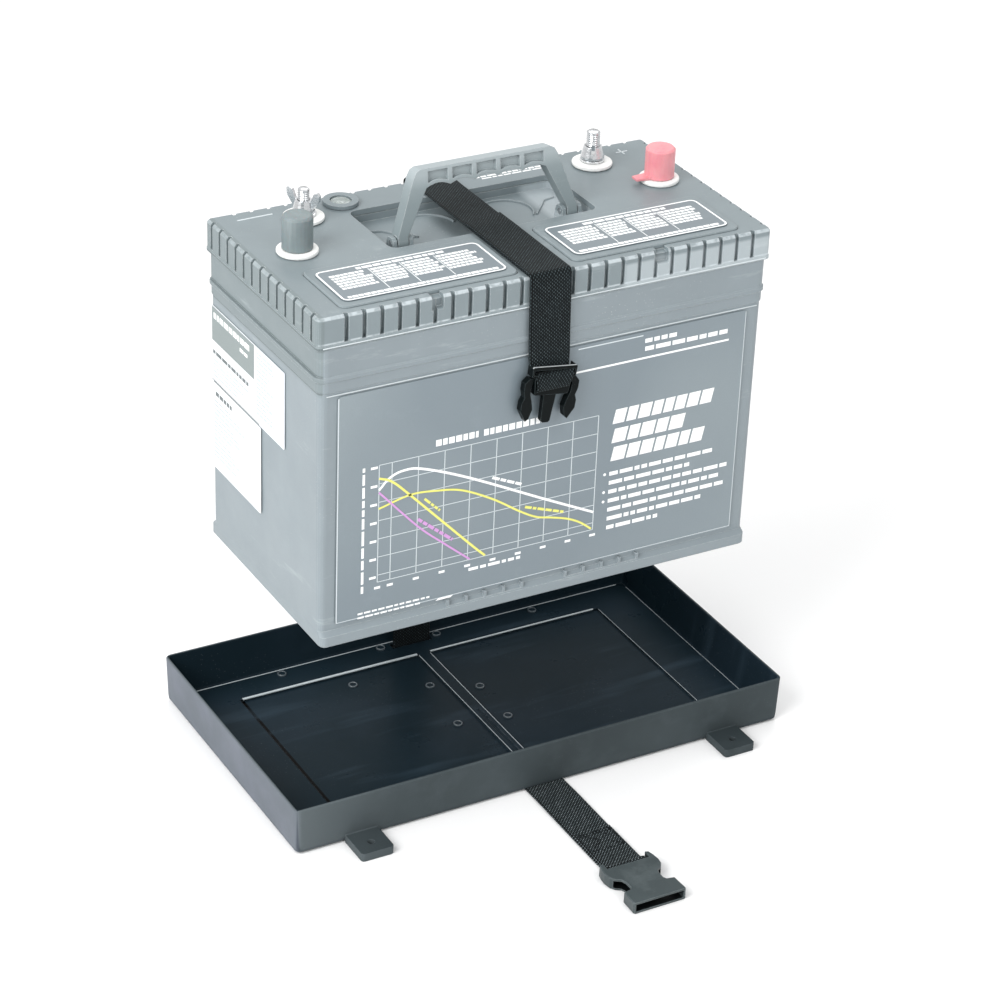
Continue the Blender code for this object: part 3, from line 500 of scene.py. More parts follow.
def mesh_object(name, points, faces, look, smooth=True, crease=40):
    mesh = bpy.data.meshes.new(name)
    mesh.from_pydata([tuple(p) for p in points], [], [tuple(f) for f in faces])
    mesh.materials.append(look)
    if smooth:
        mesh.shade_smooth()
        mesh.set_sharp_from_angle(angle=radians(crease))
    mesh.update()
    item = bpy.data.objects.new(name, mesh)
    bpy.context.scene.collection.objects.link(item)
    return item


def grid_faces(rows, columns, start=0, around=False, flip=False, caps=False):
    """Quads over a grid of rows by columns points; around joins the last column to the first, and
    caps closes both ends."""
    faces = []
    for r in range(rows - 1):
        for c in range(columns if around else columns - 1):
            d = (c + 1) % columns
            face = (start + r * columns + c, start + r * columns + d,
                    start + (r + 1) * columns + d, start + (r + 1) * columns + c)
            faces.append(face[::-1] if flip else face)
    if caps:
        last = start + (rows - 1) * columns
        foot, head = tuple(range(start, start + columns)), tuple(range(last, last + columns))
        faces += [foot, head[::-1]] if flip else [foot[::-1], head]
    return faces


def curve_through(points, steps=12):
    """A smooth line through 2-D or 3-D points."""
    p = [np.array(point, float) for point in points]
    p = [2 * p[0] - p[1]] + p + [2 * p[-1] - p[-2]]
    line = []
    for a, b, c, d in zip(p, p[1:], p[2:], p[3:]):
        for k in range(steps):
            t = k / steps
            line.append(0.5 * (2 * b + (c - a) * t + (2 * a - 5 * b + 4 * c - d) * t ** 2
                               + (3 * b - a - 3 * c + d) * t ** 3))
    line.append(p[-2])
    return np.array(line)


def resampled(route, step):
    """Points a fixed distance apart along a route."""
    route = np.array(route, float)
    lengths = np.r_[0, np.cumsum(np.linalg.norm(np.diff(route[:, :3], axis=0), axis=1))]
    count = max(3, int(round(lengths[-1] / step)) + 1)
    at = np.linspace(0, lengths[-1], count)
    return at, np.stack([np.interp(at, lengths, route[:, k]) for k in range(route.shape[1])], axis=1)


def sideways(points):
    """Unit vectors to the left of a 2-D line at each of its points."""
    direction = np.gradient(points, axis=0)
    direction /= np.linalg.norm(direction, axis=1)[:, None]
    return np.stack([-direction[:, 1], direction[:, 0]], axis=1)


def webbing(name, flat, x_at, width_at, look, thickness=WEB, per_column=3, per_pick=3, slant=0):
    """A woven strap along a line of (y, z) that lies across X; slant skews its first end.

    Its x and its width are numbers, or functions of z.
    The yarns of each column float over one pick and under the next, one pick out of step with
    their neighbours, on both faces; the selvedges are thinner and round.
    """
    route = [(x_at(z) if callable(x_at) else x_at, y, z, width_at(z) if callable(width_at) else width_at)
             for y, z in flat]
    along, line = resampled(route, PICK / per_pick)
    tangent = np.gradient(line[:, :3], axis=0)
    tangent /= np.linalg.norm(tangent, axis=1)[:, None]
    across = np.array([1, 0, 0])
    normal = np.cross(across, tangent)
    normal /= np.linalg.norm(normal, axis=1)[:, None]
    count = WEAVE_COLUMNS * per_column + 1
    share = np.linspace(0, 1, count)
    column = np.minimum((share * WEAVE_COLUMNS).astype(int), WEAVE_COLUMNS - 1)
    ridge = np.sin(pi * (share * WEAVE_COLUMNS - column)) ** 0.7
    ridge[np.isnan(ridge)] = 0
    phase = (column % 2) * 0.5
    waves = 0.5 + 0.5 * np.cos(2 * pi * (along[:, None] / (2 * PICK) + phase[None, :]))
    relief = ridge[None, :] * (0.25 + 0.75 * waves)
    edge = np.minimum(share, 1 - share) * line[:, 3].mean()
    slim = np.clip(edge / 0.0009, 0, 1) ** 0.5
    half = (thickness / 2 - WEAVE_RELIEF) * (0.45 + 0.55 * slim)
    side = (share - 0.5)[None, :] * line[:, 3][:, None]
    base = line[:, None, :3] + side[:, :, None] * across
    skew = np.clip(1 - along / 0.012, 0, 1)[:, None] * (share - 0.5)[None, :] * slant
    base = base - skew[:, :, None] * tangent[:, None, :]
    points, values = [], []
    for sign, raised in ((1, relief), (-1, np.roll(relief, per_column, axis=1))):
        height = half[None, :] + WEAVE_RELIEF * raised * slim[None, :]
        points.append((base + sign * height[:, :, None] * normal[:, None, :]).reshape(-1, 3))
        values.append(raised.ravel())
    rows = len(along)
    under = rows * count
    faces = grid_faces(rows, count) + grid_faces(rows, count, under, flip=True)
    sides = []
    for r in range(rows - 1):
        a, b = r * count, (r + 1) * count
        sides += [(a, b), (b + count - 1, a + count - 1)]
    last = (rows - 1) * count
    for c in range(count - 1):
        sides += [(c + 1, c), (last + c, last + c + 1)]
    faces += [(a, b, under + b, under + a) for a, b in sides]
    item = mesh_object(name, np.concatenate(points), faces, look, crease=70)
    attribute = item.data.attributes.new("relief", "FLOAT", "POINT")
    attribute.data.foreach_set("value", np.concatenate(values).astype(np.float32))
    return item


def stitches(name, rows, look):
    """Rows of thread stitches, each from one point to another on a face that looks up (+Z)."""
    length, radius = 0.0024, 0.00028
    sides, rings = 6, 5
    points, faces = [], []
    for start, end in rows:
        start, end = Vector(start), Vector(end)
        run = end - start
        count = max(1, int(run.length / (length * 1.25)))
        direction = run.normalized()
        beside = direction.cross(Vector((0, 0, 1)))
        for k in range(count):
            middle = start + run * ((k + 0.5) / count)
            first = len(points)
            for r in range(rings):
                t = r / (rings - 1)
                girth = radius * max(0.25, sin(pi * (0.12 + 0.76 * t)))
                rise = 0.00022 * sin(pi * t)
                centre = middle + direction * ((t - 0.5) * length) + Vector((0, 0, rise))
                for s in range(sides):
                    turn = 2 * pi * s / sides
                    points.append(centre + beside * cos(turn) * girth
                                  + Vector((0, 0, sin(turn) * girth)))
            faces += grid_faces(rings, sides, first, around=True, caps=True)
    item = mesh_object(name, points, faces, look)
    return item


def ring_points(centre, radius, z, sides):
    return [(centre[0] + radius * cos(2 * pi * s / sides), centre[1] + radius * sin(2 * pi * s / sides), z)
            for s in range(sides)]


def revolved(name, centre, profile, look, sides=48, wobble=0):
    """A closed ring or knob from (radius, z) pairs that run up the outside and back down the inside."""
    random = np.random.RandomState(len(name))
    points = []
    for radius, z in profile:
        for s in range(sides):
            turn = 2 * pi * s / sides
            r = radius + wobble * random.uniform(-1, 1)
            points.append((centre[0] + r * cos(turn), centre[1] + r * sin(turn),
                           z + wobble * random.uniform(-0.7, 0.7)))
    faces = grid_faces(len(profile), sides, around=True)
    for s in range(sides):
        t = (s + 1) % sides
        last = (len(profile) - 1) * sides
        faces.append((last + s, last + t, t, s))
    return mesh_object(name, points, faces, look)


# ---- Printed graphics

class Print:
    """Flat ink shapes in millimetres on a plane, drawn as thin closed slabs of one colour."""

    def __init__(self, name, look, body, place, random=None, lift=0.00003):
        self.name, self.look, self.body, self.place, self.random = name, look, body, place, random
        self.levels = (lift, lift + 0.00005)
        self.points, self.faces = [], []

    def shape(self, outline):
        count = len(outline)
        start = len(self.points)
        for level in self.levels:
            self.points += [self.place(a * MM, b * MM, level) for a, b in outline]
        self.faces.append(tuple(start + k for k in range(count))[::-1])
        self.faces.append(tuple(start + count + k for k in range(count)))
        for k in range(count):
            j = (k + 1) % count
            self.faces.append((start + k, start + j, start + count + j, start + count + k))

    def bar(self, x0, x1, z0, z1, slant=0):
        self.shape([(x0, z0), (x1, z0), (x1 + slant, z1), (x0 + slant, z1)])

    def band(self, outer, inner, closed):
        """A slab between two lines or two loops of equally many points."""
        count = len(outer)
        start = len(self.points)
        for level in self.levels:
            for loop in (outer, inner):
                self.points += [self.place(a * MM, b * MM, level) for a, b in loop]
        low_out, low_in, top_out, top_in = (start + k * count for k in range(4))
        for k in range(count if closed else count - 1):
            j = (k + 1) % count
            for a, b in ((top_out, top_in), (low_in, low_out), (low_out, top_out), (top_in, low_in)):
                self.faces.append((a + k, a + j, b + j, b + k))
        if not closed:
            end = count - 1
            self.faces.append((low_in, low_out, top_out, top_in))
            self.faces.append((low_out + end, low_in + end, top_in + end, top_out + end))

    def line(self, points, width):
        p = np.array(points, float)
        beside = sideways(p) * width / 2
        self.band(p - beside, p + beside, closed=False)

    def words(self, x0, x1, middle, height, space=1.6, shortest=3, longest=9):
        """A row of plain bars in the rhythm of a line of small print."""
        x = x0
        while x < x1 - shortest / 2:
            width = min(self.random.uniform(shortest, longest), x1 - x)
            self.bar(x, x + width, middle - height / 2, middle + height / 2)
            x += width + space

    def paragraph(self, *rows):
        for row in rows:
            self.words(*row)

    def words_along(self, start, end, height):
        """Small bars that follow a sloping line."""
        start, end = np.array(start, float), np.array(end, float)
        length = np.linalg.norm(end - start)
        along = (end - start) / length
        beside = np.array([-along[1], along[0]]) * height / 2
        s = 0
        while s < length:
            width = min(self.random.uniform(2.5, 6), length - s)
            a, b = start + along * s, start + along * (s + width)
            self.shape([a - beside, b - beside, b + beside, a + beside])
            s += width + 1

    def blocks(self, x0, x1, z0, z1, count):
        """A heading as a row of slanted blocks of uneven width."""
        slant, space = 2.2, 1.5
        widths = self.random.uniform(0.8, 1.25, count)
        widths *= (x1 - x0 - slant - space * (count - 1)) / widths.sum()
        x = x0
        for width in widths:
            self.bar(x, x + width, z0, z1, slant)
            x += width + space

    def finish(self):
        item = mesh_object(self.name, self.points, self.faces, self.look, smooth=False)
        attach(item, self.body)
        return item


def rounded_loop(x0, x1, y0, y1, radius):
    loop = []
    for cx, cy, start in ((x1 - radius, y0 + radius, -90), (x1 - radius, y1 - radius, 0),
                          (x0 + radius, y1 - radius, 90), (x0 + radius, y0 + radius, 180)):
        for k in range(7):
            turn = radians(start + 15 * k)
            loop.append((cx + radius * cos(turn), cy + radius * sin(turn)))
    return loop


def front_prints(inks):
    random = np.random.RandomState(4)
    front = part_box("front_label")[0].y

    def place(a, b, level):
        return (a, front - level, b)

    left, right, low, high = -121.5, 40.2, 180.5, 266.8
    ink = Print("front_print_grid", inks["grid"], "battery", place)
    columns = [left] + [-112.3 + 19.07 * k for k in range(9)]
    rows = [high - 13.5 * k for k in range(7)] + [low]
    for x in columns:
        ink.bar(x - 0.28, x + 0.28, low, high)
    for z in rows:
        ink.bar(left, right, z - 0.24, z + 0.24)
    ink.bar(-151.2, -150.5, 157, 320.5)
    ink.bar(-151.2, 150.9, 156.6, 157)
    ink.bar(150.5, 150.9, 157, 320.5)
    ink.bar(22, 71, 318.6, 319.4)
    ink.finish()
    ink = Print("front_print_white", inks["white"], "battery", place, random, 0.00009)
    for x in columns:
        ink.bar(x - 2.2, x + 2.2, low - 5, low - 3.2)
    for z in rows[:-1]:
        ink.bar(left - 6, left - 1.2, z - 2.2, z - 0.4)
    crest = [(left, 248.5), (-114, 255.8), (-104, 259), (-90, 257), (-56, 242.6), (4, 212), (right, 194)]
    ink.line(curve_through(crest), 1.7)
    ink.words_along((-38.5, 238.6), (-15.9, 228.3), 2)
    ink.paragraph((-54, -15, 173, 2.2), (-81, -50, 273.4, 4.6, 1, 3, 4.4),
                  (-46, 0, 273.4, 4.6, 1, 3, 4.4))
    z = 174.6
    while z < 266:
        height = random.uniform(4, 11)
        ink.bar(-133.4, -131.6, z, min(z + height, 267))
        z += height + 1.7
    ink.paragraph((-135.4, -82.7, 159.6, 1.3, 1.1, 2, 6), (-135.4, -88, 156.6, 1.3, 1.1, 2, 6))
    ink.bar(-78, -67, 155.2, 156.6, 2)
    for x1, z0, count in ((130, 257.9, 8), (108.5, 243.6, 5), (124.6, 230, 7)):
        ink.blocks(51.2, x1, z0, z0 + 10.4, count)
    for z in (220.8, 207.2, 200):
        ink.shape([(47.4 + 1.1 * cos(pi * k / 5), z + 1.1 * sin(pi * k / 5)) for k in range(10)])
    ends = (134.6, 114.2, 144.6, 138.3, 142.6, 125.1, 91.2)
    for k, x1 in enumerate(ends):
        ink.words(51, x1, 220.5 - 6.85 * k, 2.9, 1.5, 3.5, 12)
    ink.paragraph((72.7, 97, 314.8, 3, 1.4, 3, 7), (73, 137, 309, 3.2, 1.4, 4, 12))
    ink.bar(14, 138.4, 301.6, 303)
    ink.finish()

    ink = Print("front_print_yellow", inks["yellow"], "battery", place, random, 0.00015)
    sag = [(left, 235), (-99, 240), (-80, 238.6), (-61, 234.5), (-38, 222.6), (-17, 208.4), (-4, 201),
           (8, 197.6), (20, 193.8), (30, 188.6), (39, 181.5)]
    ink.line(curve_through(sag), 1.4)
    ink.line(curve_through([(left, 257.2), (-112.5, 253), (-99, 240), (-54.6, 193.6), (-42, 181)]), 1.6)
    ink.words_along((-88.3, 234.6), (-76.8, 223.3), 1.7)
    ink.words_along((-12.9, 210.6), (16.7, 199.9), 1.9)
    ink.finish()

    ink = Print("front_print_magenta", inks["magenta"], "battery", place, random, 0.00021)
    ink.line(curve_through([(left, 247), (-92.7, 215.3), (-74, 198.5), (-53.5, 181)]), 1.3)
    ink.words_along((-92.8, 220.6), (-66.9, 199.2), 2.2)
    ink.finish()


def vent_prints(side, white):
    low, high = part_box(f"vent_label_{side}")
    random = np.random.RandomState(7 if side == "left" else 8)
    ink = Print(f"vent_print_{side}", white, f"vent_cover_{side}",
                lambda a, b, level: (a, b, high.z + level), random)
    x0, x1, y0, y1 = low.x / MM, high.x / MM, low.y / MM, high.y / MM
    ink.band(rounded_loop(x0 + 0.3, x1 - 0.3, y0 + 0.3, y1 - 0.3, 4.7),
             rounded_loop(x0 + 1.6, x1 - 1.6, y0 + 1.6, y1 - 1.6, 3.4), closed=True)
    width = x1 - x0
    ink.words(x0 + 0.24 * width, x0 + 0.78 * width, y1 - 5, 2.9, 0.9, 3, 8)
    stops = [0.05, 0.3, 0.49, 0.7, 0.95]
    for a, b in zip(stops, stops[1:]):
        left, right = x0 + a * width + 1, x0 + b * width - 0.9
        for row in range(6):
            end = right - random.uniform(0, 0.16) * (right - left)
            ink.words(left, end, y1 - 9.9 - 3.75 * row, 2.5, 0.55, 1.6, 4.6)
    for stop in stops[1:-1]:
        x = x0 + stop * width
        ink.bar(x - 0.25, x + 0.25, y0 + 6.6, y1 - 8)
    ink.words(x0 + 4.6, x1 - 5.6, y0 + 4.3, 2.7, 0.6, 2, 7)
    ink.finish()


def end_prints(inks):
    random = np.random.RandomState(11)
    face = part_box("end_label_upper")[0].x

    def place(a, b, level):
        return (face - level, -a, b)

    block = Print("end_print_grey", inks["grey"], "battery", place)
    block.bar(-78.4, -12.6, 292.6, 317.4)
    block.finish()
    ink = Print("end_print_white", inks["white"], "battery", place, random, 0.00009)
    ink.paragraph((-75.5, -20, 311.6, 4.2, 1.3, 3, 8), (-34.5, -21.5, 304.6, 2.4, 1, 3, 6))
    ink.finish()
    ink = Print("end_print_dark", inks["dark"], "battery", place, random)
    ink.words(-77, -21.5, 284.6, 2.6, 1.2, 3, 9)
    ink.bar(-78.8, -5, 263, 263.6)
    ink.words(-73.5, -48, 254.4, 3, 1.2, 2.5, 6)
    ink.finish()
    ink = Print("end_print_faint", inks["faint"], "battery", place, random)
    for count, start, end, ragged, top, step, height, longest in (
            (5, -76, -20, 26, 279, 2.9, 1, 9), (14, -76, -24, 34, 248.6, 3.2, 1.1, 9),
            (15, -9, 20, 14, 314, 3.1, 1.2, 7)):
        for k in range(count):
            ink.words(start, end - random.uniform(0, ragged), top - step * k, height, 1, 2, longest)
    ink.finish()


def lid_prints(white):
    random = np.random.RandomState(21)
    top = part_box("strap_top")[0].z - 0.0003
    ink = Print("lid_print_white", white, "battery", lambda a, b, level: (a, b, top + level), random)
    ink.paragraph((27, 82, 69.6, 2, 1, 2.5, 8), (30, 76, 66.4, 1.5, 1, 2.5, 8))
    ink.finish()


# ---- Straps

def arc_points(centre, radii, start, stop, steps=8):
    """(y, z) along an elliptical arc, angles in degrees from +Y towards +Z."""
    turns = [radians(start + (stop - start) * k / steps) for k in range(steps + 1)]
    return [(centre[0] + radii[0] * cos(t), centre[1] + radii[1] * sin(t)) for t in turns]


def build_straps(web, pale_crowned_web, thread):
    top_low, top_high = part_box("strap_top")
    loose_low, loose_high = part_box("strap_loose_end")
    drop_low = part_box("strap_drop")[0]
    rear_low, rear_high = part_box("strap_rear")
    tail_low, tail_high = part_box("strap_tail")
    hem_low, hem_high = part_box("strap_tail_hem")
    base_low, base_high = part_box("strap_base")
    width = top_high.x - top_low.x
    lid_x = (top_low.x + top_high.x) / 2
    base_x = (base_low.x + base_high.x) / 2

    # The two plies that hang down the front, from the lid to the plug
    plug_low, plug_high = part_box("buckle_plug")
    end_z = drop_low.z - 0.006
    inner_top = (top_low.z + top_high.z) / 2
    outer_top = (loose_low.z + loose_high.z) / 2

    def front_x(z):
        return lid_x + 0.0014 * min(1, max(0, (inner_top - z) / 0.06))

    def front_width(z):
        squeeze = min(1, max(0, (drop_low.z + 0.004 - z) / 0.008))
        return width - 0.0016 * squeeze

    bulge_y = top_high.y + 0.0042
    inner = [(bulge_y - 0.0022, inner_top - 0.01), (bulge_y, inner_top - 0.005)]
    inner += arc_points((bulge_y - 0.0042, inner_top - 0.0036), (0.0044, 0.004), 0, 80, 6)
    inner += [(0.08, inner_top + 0.0002), (0.06, inner_top), (0.03, inner_top), (0, inner_top)]
    inner += [(-0.03, inner_top), (-0.06, inner_top), (-0.08, inner_top)]
    inner += arc_points((-0.084, inner_top - 0.0016), (0.0016, 0.0016), 90, 180)
    inner += [(-0.0857, 0.36), (-0.0856, 0.34), (-0.0858, 0.322), (-0.0866, end_z)]
    ply = webbing("strap_lower_ply", inner, front_x, front_width, web)
    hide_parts("strap_top")
    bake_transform(ply)

    outer = [(loose_high.y, outer_top - 0.0001), (-0.01, outer_top + 0.0001), (-0.04, outer_top)]
    outer += [(-0.07, outer_top), (-0.082, outer_top)]
    outer += arc_points((-0.084, inner_top - 0.0016), (0.003, 0.0033), 90, 180)
    outer += [(-0.0871, 0.36), (-0.087, 0.34), (-0.0874, 0.322), (-0.0882, end_z)]

    def outer_x(z):
        return front_x(z) - 0.0003

    ply = webbing("strap_upper_ply", outer, outer_x, front_width, web, slant=0.0046)
    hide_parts("strap_loose_end", "strap_drop")
    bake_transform(ply)

    # The fold around the plug's middle bar
    tilt = tan(radians(8))
    plug_top = plug_high.z - 0.0024
    plug_front = (plug_low.y + plug_high.y) / 2
    fold = [(0.0014, -0.0046), (-0.0012, -0.004), (-0.0036, -0.0048), (-0.0047, -0.0064), (-0.0052, -0.009),
            (-0.0053, -0.0118), (-0.0049, -0.014), (-0.004, -0.015), (-0.0028, -0.0142),
            (-0.0014, -0.0126), (0.0012, -0.0122)]
    fold = [(plug_front + y, plug_top + z) for y, z in fold]

    def fold_x(z):
        return (plug_low.x + plug_high.x) / 2 + 0.0004 - (plug_top - z) * tilt

    def fold_width(z):
        return 0.0282 - 0.0046 * min(1, max(0, (plug_top - 0.005 - z) / 0.009))

    wrap = webbing("strap_plug_fold", curve_through(fold, 6), fold_x, fold_width, web, 0.0012)
    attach(wrap, "strap_drop")

    # The run up the back, fixed to the tray
    foot, crown = rear_low.z, rear_high.z
    sway = [(rear_high.y - WEB / 2 - 0.0002, foot), (rear_high.y - 0.001, foot + 0.06),
            (rear_high.y + 0.0006, foot + 0.19), (rear_high.y + 0.0002, crown - 0.07),
            (bulge_y - 0.0016, crown - 0.0085)]

    def rear_x(z):
        return base_x + (lid_x - base_x) * (z - foot) / (crown - foot)

    rear = webbing("strap_back_run", curve_through(sway), rear_x, width, web, WEB, 2, 2)
    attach(rear, "tray")
    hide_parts("strap_rear")
    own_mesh(rear)

    # The run under the tray and the tail that ends in the socket
    level = WEB / 2 + 0.0001
    seam_y = tail_high.y + 0.0105
    under = [(base_high.y, level), (seam_y + 0.0002, level)]
    base = webbing("strap_under_run", under, base_x, width, web, WEB - 0.0001, 1, 1)
    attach(base, "tray")
    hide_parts("strap_base")

    tail = [(seam_y, level), (tail_high.y, level + 0.00005), (-0.13, level + 0.0004),
            (-0.152, level + 0.0002), (-0.175, level), (-0.2, level), (tail_low.y, level)]
    tail_piece = webbing("strap_tail_run", curve_through(tail), base_x, width, pale_crowned_web)
    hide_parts("strap_tail")
    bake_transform(tail_piece)

    hem_z = (hem_low.z + hem_high.z) / 2
    hem = [(hem_high.y, hem_z - 0.0001), (-0.19, hem_z), (-0.208, hem_z + 0.0001), (-0.213, hem_z + 0.001),
           (-0.2146, 0.0056), (-0.2168, 0.0058), (-0.2178, 0.0046), (-0.2182, 0.0024)]
    hem_piece = webbing("strap_tail_fold", curve_through(hem, 8), base_x, width - 0.001, pale_crowned_web)
    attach(hem_piece, "strap_tail")
    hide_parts("strap_tail_hem")

    top = hem_high.z + 0.00005
    x0, x1 = base_x - 0.0125, base_x + 0.0125
    y0, y1 = hem_high.y - 0.003, hem_high.y - 0.023
    rows = [((x0, y0, top), (x1, y0, top)), ((x0, y0 - 0.0022, top), (x1, y0 - 0.0022, top)),
            ((x0, y1, top), (x1, y1, top)), ((x0, y0, top), (x0, y1, top)), ((x1, y0, top), (x1, y1, top)),
            ((x0, y0, top), (x1, y1, top)), ((x0, y1, top), (x1, y0, top))]
    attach(stitches("tail_stitching", rows, thread), "strap_tail")


# ---- Terminals and lid details

def threaded_stud(name, steel):
    """A stud with a real rolled thread above its flange, in place of the plain one."""
    node = f"terminal_stud_{name}"
    low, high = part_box(node)
    x, y = centre = (low.x + high.x) / 2, (low.y + high.y) / 2
    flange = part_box(f"washer_stud_{name}")[1].z + 0.0003
    radius, depth, pitch = STUD_RADII[name], 0.00048, 0.00141
    sides, per_turn = 32, 8
    flange_radius = (high.x - low.x) / 2
    start, stop = flange + 0.0018, high.z - 0.0008
    profile = [(radius, low.z), (radius, flange), (flange_radius - 0.0003, flange),
               (flange_radius, flange + 0.0003), (flange_radius, flange + 0.0013),
               (flange_radius - 0.0004, flange + 0.0016), (radius, start)]
    points = []
    for r, z in profile:
        points += ring_points(centre, r, z, sides)
    rows = int((stop - start) / pitch * per_turn)
    for k in range(1, rows + 1):
        z = start + (stop - start) * k / rows
        fade = min(1, (stop - z) / pitch + 0.35, (z - start) / pitch)
        for s in range(sides):
            wave = ((z - start) / pitch - s / sides) % 1
            r = radius - depth * fade * (1 - abs(2 * wave - 1))
            points.append((x + r * cos(2 * pi * s / sides), y + r * sin(2 * pi * s / sides), z))
    points += ring_points(centre, radius - 0.0011, high.z, sides)
    faces = grid_faces(len(points) // sides, sides, around=True, caps=True)
    stud = mesh_object(f"threaded_stud_{name}", points, faces, steel, crease=50)
    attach(stud, "battery")
    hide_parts(node)


def felt_washer(name, felt):
    node = f"washer_{name}"
    low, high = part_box(node)
    centre = ((low.x + high.x) / 2, (low.y + high.y) / 2)
    outer = (high.x - low.x) / 2
    part, pole = name.split("_")
    inner = 0.0088 if part == "post" else STUD_RADII[pole] + 0.0006
    middle = (low.z + high.z) / 2
    half = (high.z - low.z) / 2
    rings = 14
    profile = []
    for k in range(rings):
        turn = 2 * pi * k / rings
        stretch = (outer - inner) / 2
        r = (outer + inner) / 2 + stretch * np.sign(cos(turn)) * abs(cos(turn)) ** 0.45
        z = middle + half * np.sign(sin(turn)) * abs(sin(turn)) ** 0.6
        profile.append((float(r), float(z)))
    item = revolved(f"felt_{name}", centre, profile, felt, 72, 0.00008)
    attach(item, "battery")
    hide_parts(node)


RIDGE = ((-0.5, -0.1), (-0.42, 0.75), (-0.22, 1), (0.22, 1), (0.42, 0.75), (0.5, -0.1))
BEAD = ((-0.5, -0.3), (-0.46, 0.45), (-0.22, 0.92), (0.22, 0.92), (0.46, 0.45), (0.5, -0.3))


def add_bar(points, faces, spine, beside, width, height, section):
    """Adds a closed bar that runs along a floor through the spine's points."""
    first = len(points)
    for foot, across in zip(spine, beside):
        points += [foot + across * (width * a) + Vector((0, 0, height * h)) for a, h in section]
    faces += grid_faces(len(spine), len(section), first, around=True, flip=True, caps=True)


def beads(name, bars, look):
    """Half-round bars, each with its start and end (x, y, z of its foot), width and height."""
    points, faces = [], []
    for start, end, width, height in bars:
        start, end = Vector(start), Vector(end)
        beside = (end - start).normalized().cross(Vector((0, 0, 1)))
        add_bar(points, faces, (start, end), (beside, beside), width, height, BEAD)
    return mesh_object(name, points, faces, look)


def well_ribs(plastic):
    """Moulded ridges on the floor of the handle's well: an arc beside the strap and a brace to it."""
    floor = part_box("handle_well")[0].z + 0.0025

    def ridge(name, line):
        points, faces = [], []
        add_bar(points, faces, [Vector((x, y, floor)) for x, y in line],
                [Vector((x, y, 0)) for x, y in sideways(np.array(line))], 0.0016, 0.0013, RIDGE)
        item = mesh_object(name, points, faces, plastic)
        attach(item, "battery")

    for name, side, sweep in (("right", 1, range(-40, 181, 10)), ("left", -1, range(0, 221, 10))):
        turns = [radians(t) for t in sweep]
        ridge(f"well_arc_{name}", [(side * 0.029 + 0.0185 * cos(t), 0.03 + 0.0185 * sin(t)) for t in turns])
    brace = [(0.046, 0.0185), (0.054, 0.0275), (0.061, 0.036), (0.07, 0.0382)]
    ridge("well_brace_right", brace)
    ridge("well_brace_left", [(-x, y) for x, y in brace])


def tray_details(lip_highlight_plastic, plastic):
    """Pale beads on the tray's floor along the panels' lips and seams, painted highlights, and rings around
    its screw bosses, painted pale as glints.
    """
    inner, outer, half, wall = PANEL_INNER, PANEL_OUTER, PANEL_HALF, WALL_FOOT
    bars = (((-outer + 0.002, half), (-inner - 0.001, half), 0.0022, 0.0008),
            ((inner + 0.001, half), (outer - 0.004, half), 0.0016, 0.0006),
            ((outer, half - 0.002), (outer, -half + 0.002), 0.0004, 0.0002),
            ((-0.177, wall), (0.177, wall), 0.0007, 0.0004),
            ((0.1824, wall - 0.006), (0.1824, 0.006 - wall), 0.0004, 0.0002),
            ((-inner, half - 0.002), (-inner, -half + 0.002), 0.0005, 0.0003),
            ((inner, half - 0.002), (inner, -half + 0.002), 0.0005, 0.0003))
    item = beads("panel_lip_highlight_beads", [((*a, FLOOR), (*b, FLOOR), w, h) for a, b, w, h in bars], lip_highlight_plastic)
    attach(item, "tray")
    bosses = [(-0.1056, 0.093), (-0.0255, 0.094), (0.0205, 0.094), (0.1008, 0.093), (-0.0155, 0.0353),
              (-0.0208, -0.0173), (0.0166, 0.0192), (0.016, -0.0236), (-0.065, 0.06)]
    for k, place in enumerate(bosses):
        top = (FLOOR if place[1] > PANEL_HALF else RECESS) + 0.0008
        profile = [(0.0034, top - 0.0009), (0.0034, top + 0.00005), (0.0031, top + 0.0004),
                   (0.0026, top + 0.0004), (0.0022, top - 0.0001), (0.0022, top - 0.0009)]
        ring = revolved(f"boss_ring_{k + 1}", place, profile, plastic, 32)
        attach(ring, "tray")


def case_beads(plastic):
    """Rounded beads along the case's shoulder and under the lid's rim, and the lid's raised polarity signs,
    all pale as painted highlights.
    """
    lid_low, lid_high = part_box("battery_lid")
    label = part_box("front_label")[1]
    rim_z = lid_low.z + 0.0012
    top = lid_high.z
    signs = [((-0.149, 0.0712), (-0.1235, 0.0718)), ((0.136, 0.068), (0.145, 0.068)),
             ((0.1405, 0.0635), (0.1405, 0.0725))]
    runs = {
        "case_shoulder_highlight_bead": [((-0.159, label.y + 0.0002, label.z + 0.0016),
                                (0.159, label.y + 0.0002, label.z + 0.0016), 0.001, 0.0004)],
        "lid_rim_highlight_bead": [((lid_low.x + 0.004, lid_low.y, rim_z), (lid_high.x - 0.004, lid_low.y, rim_z),
                          0.0007, 0.0005)],
        "polarity_signs": [((*start, top), (*end, top), 0.0011, 0.0005) for start, end in signs],
    }
    for name, bars in runs.items():
        item = beads(name, bars, plastic)
        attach(item, "battery")


# ---- Main

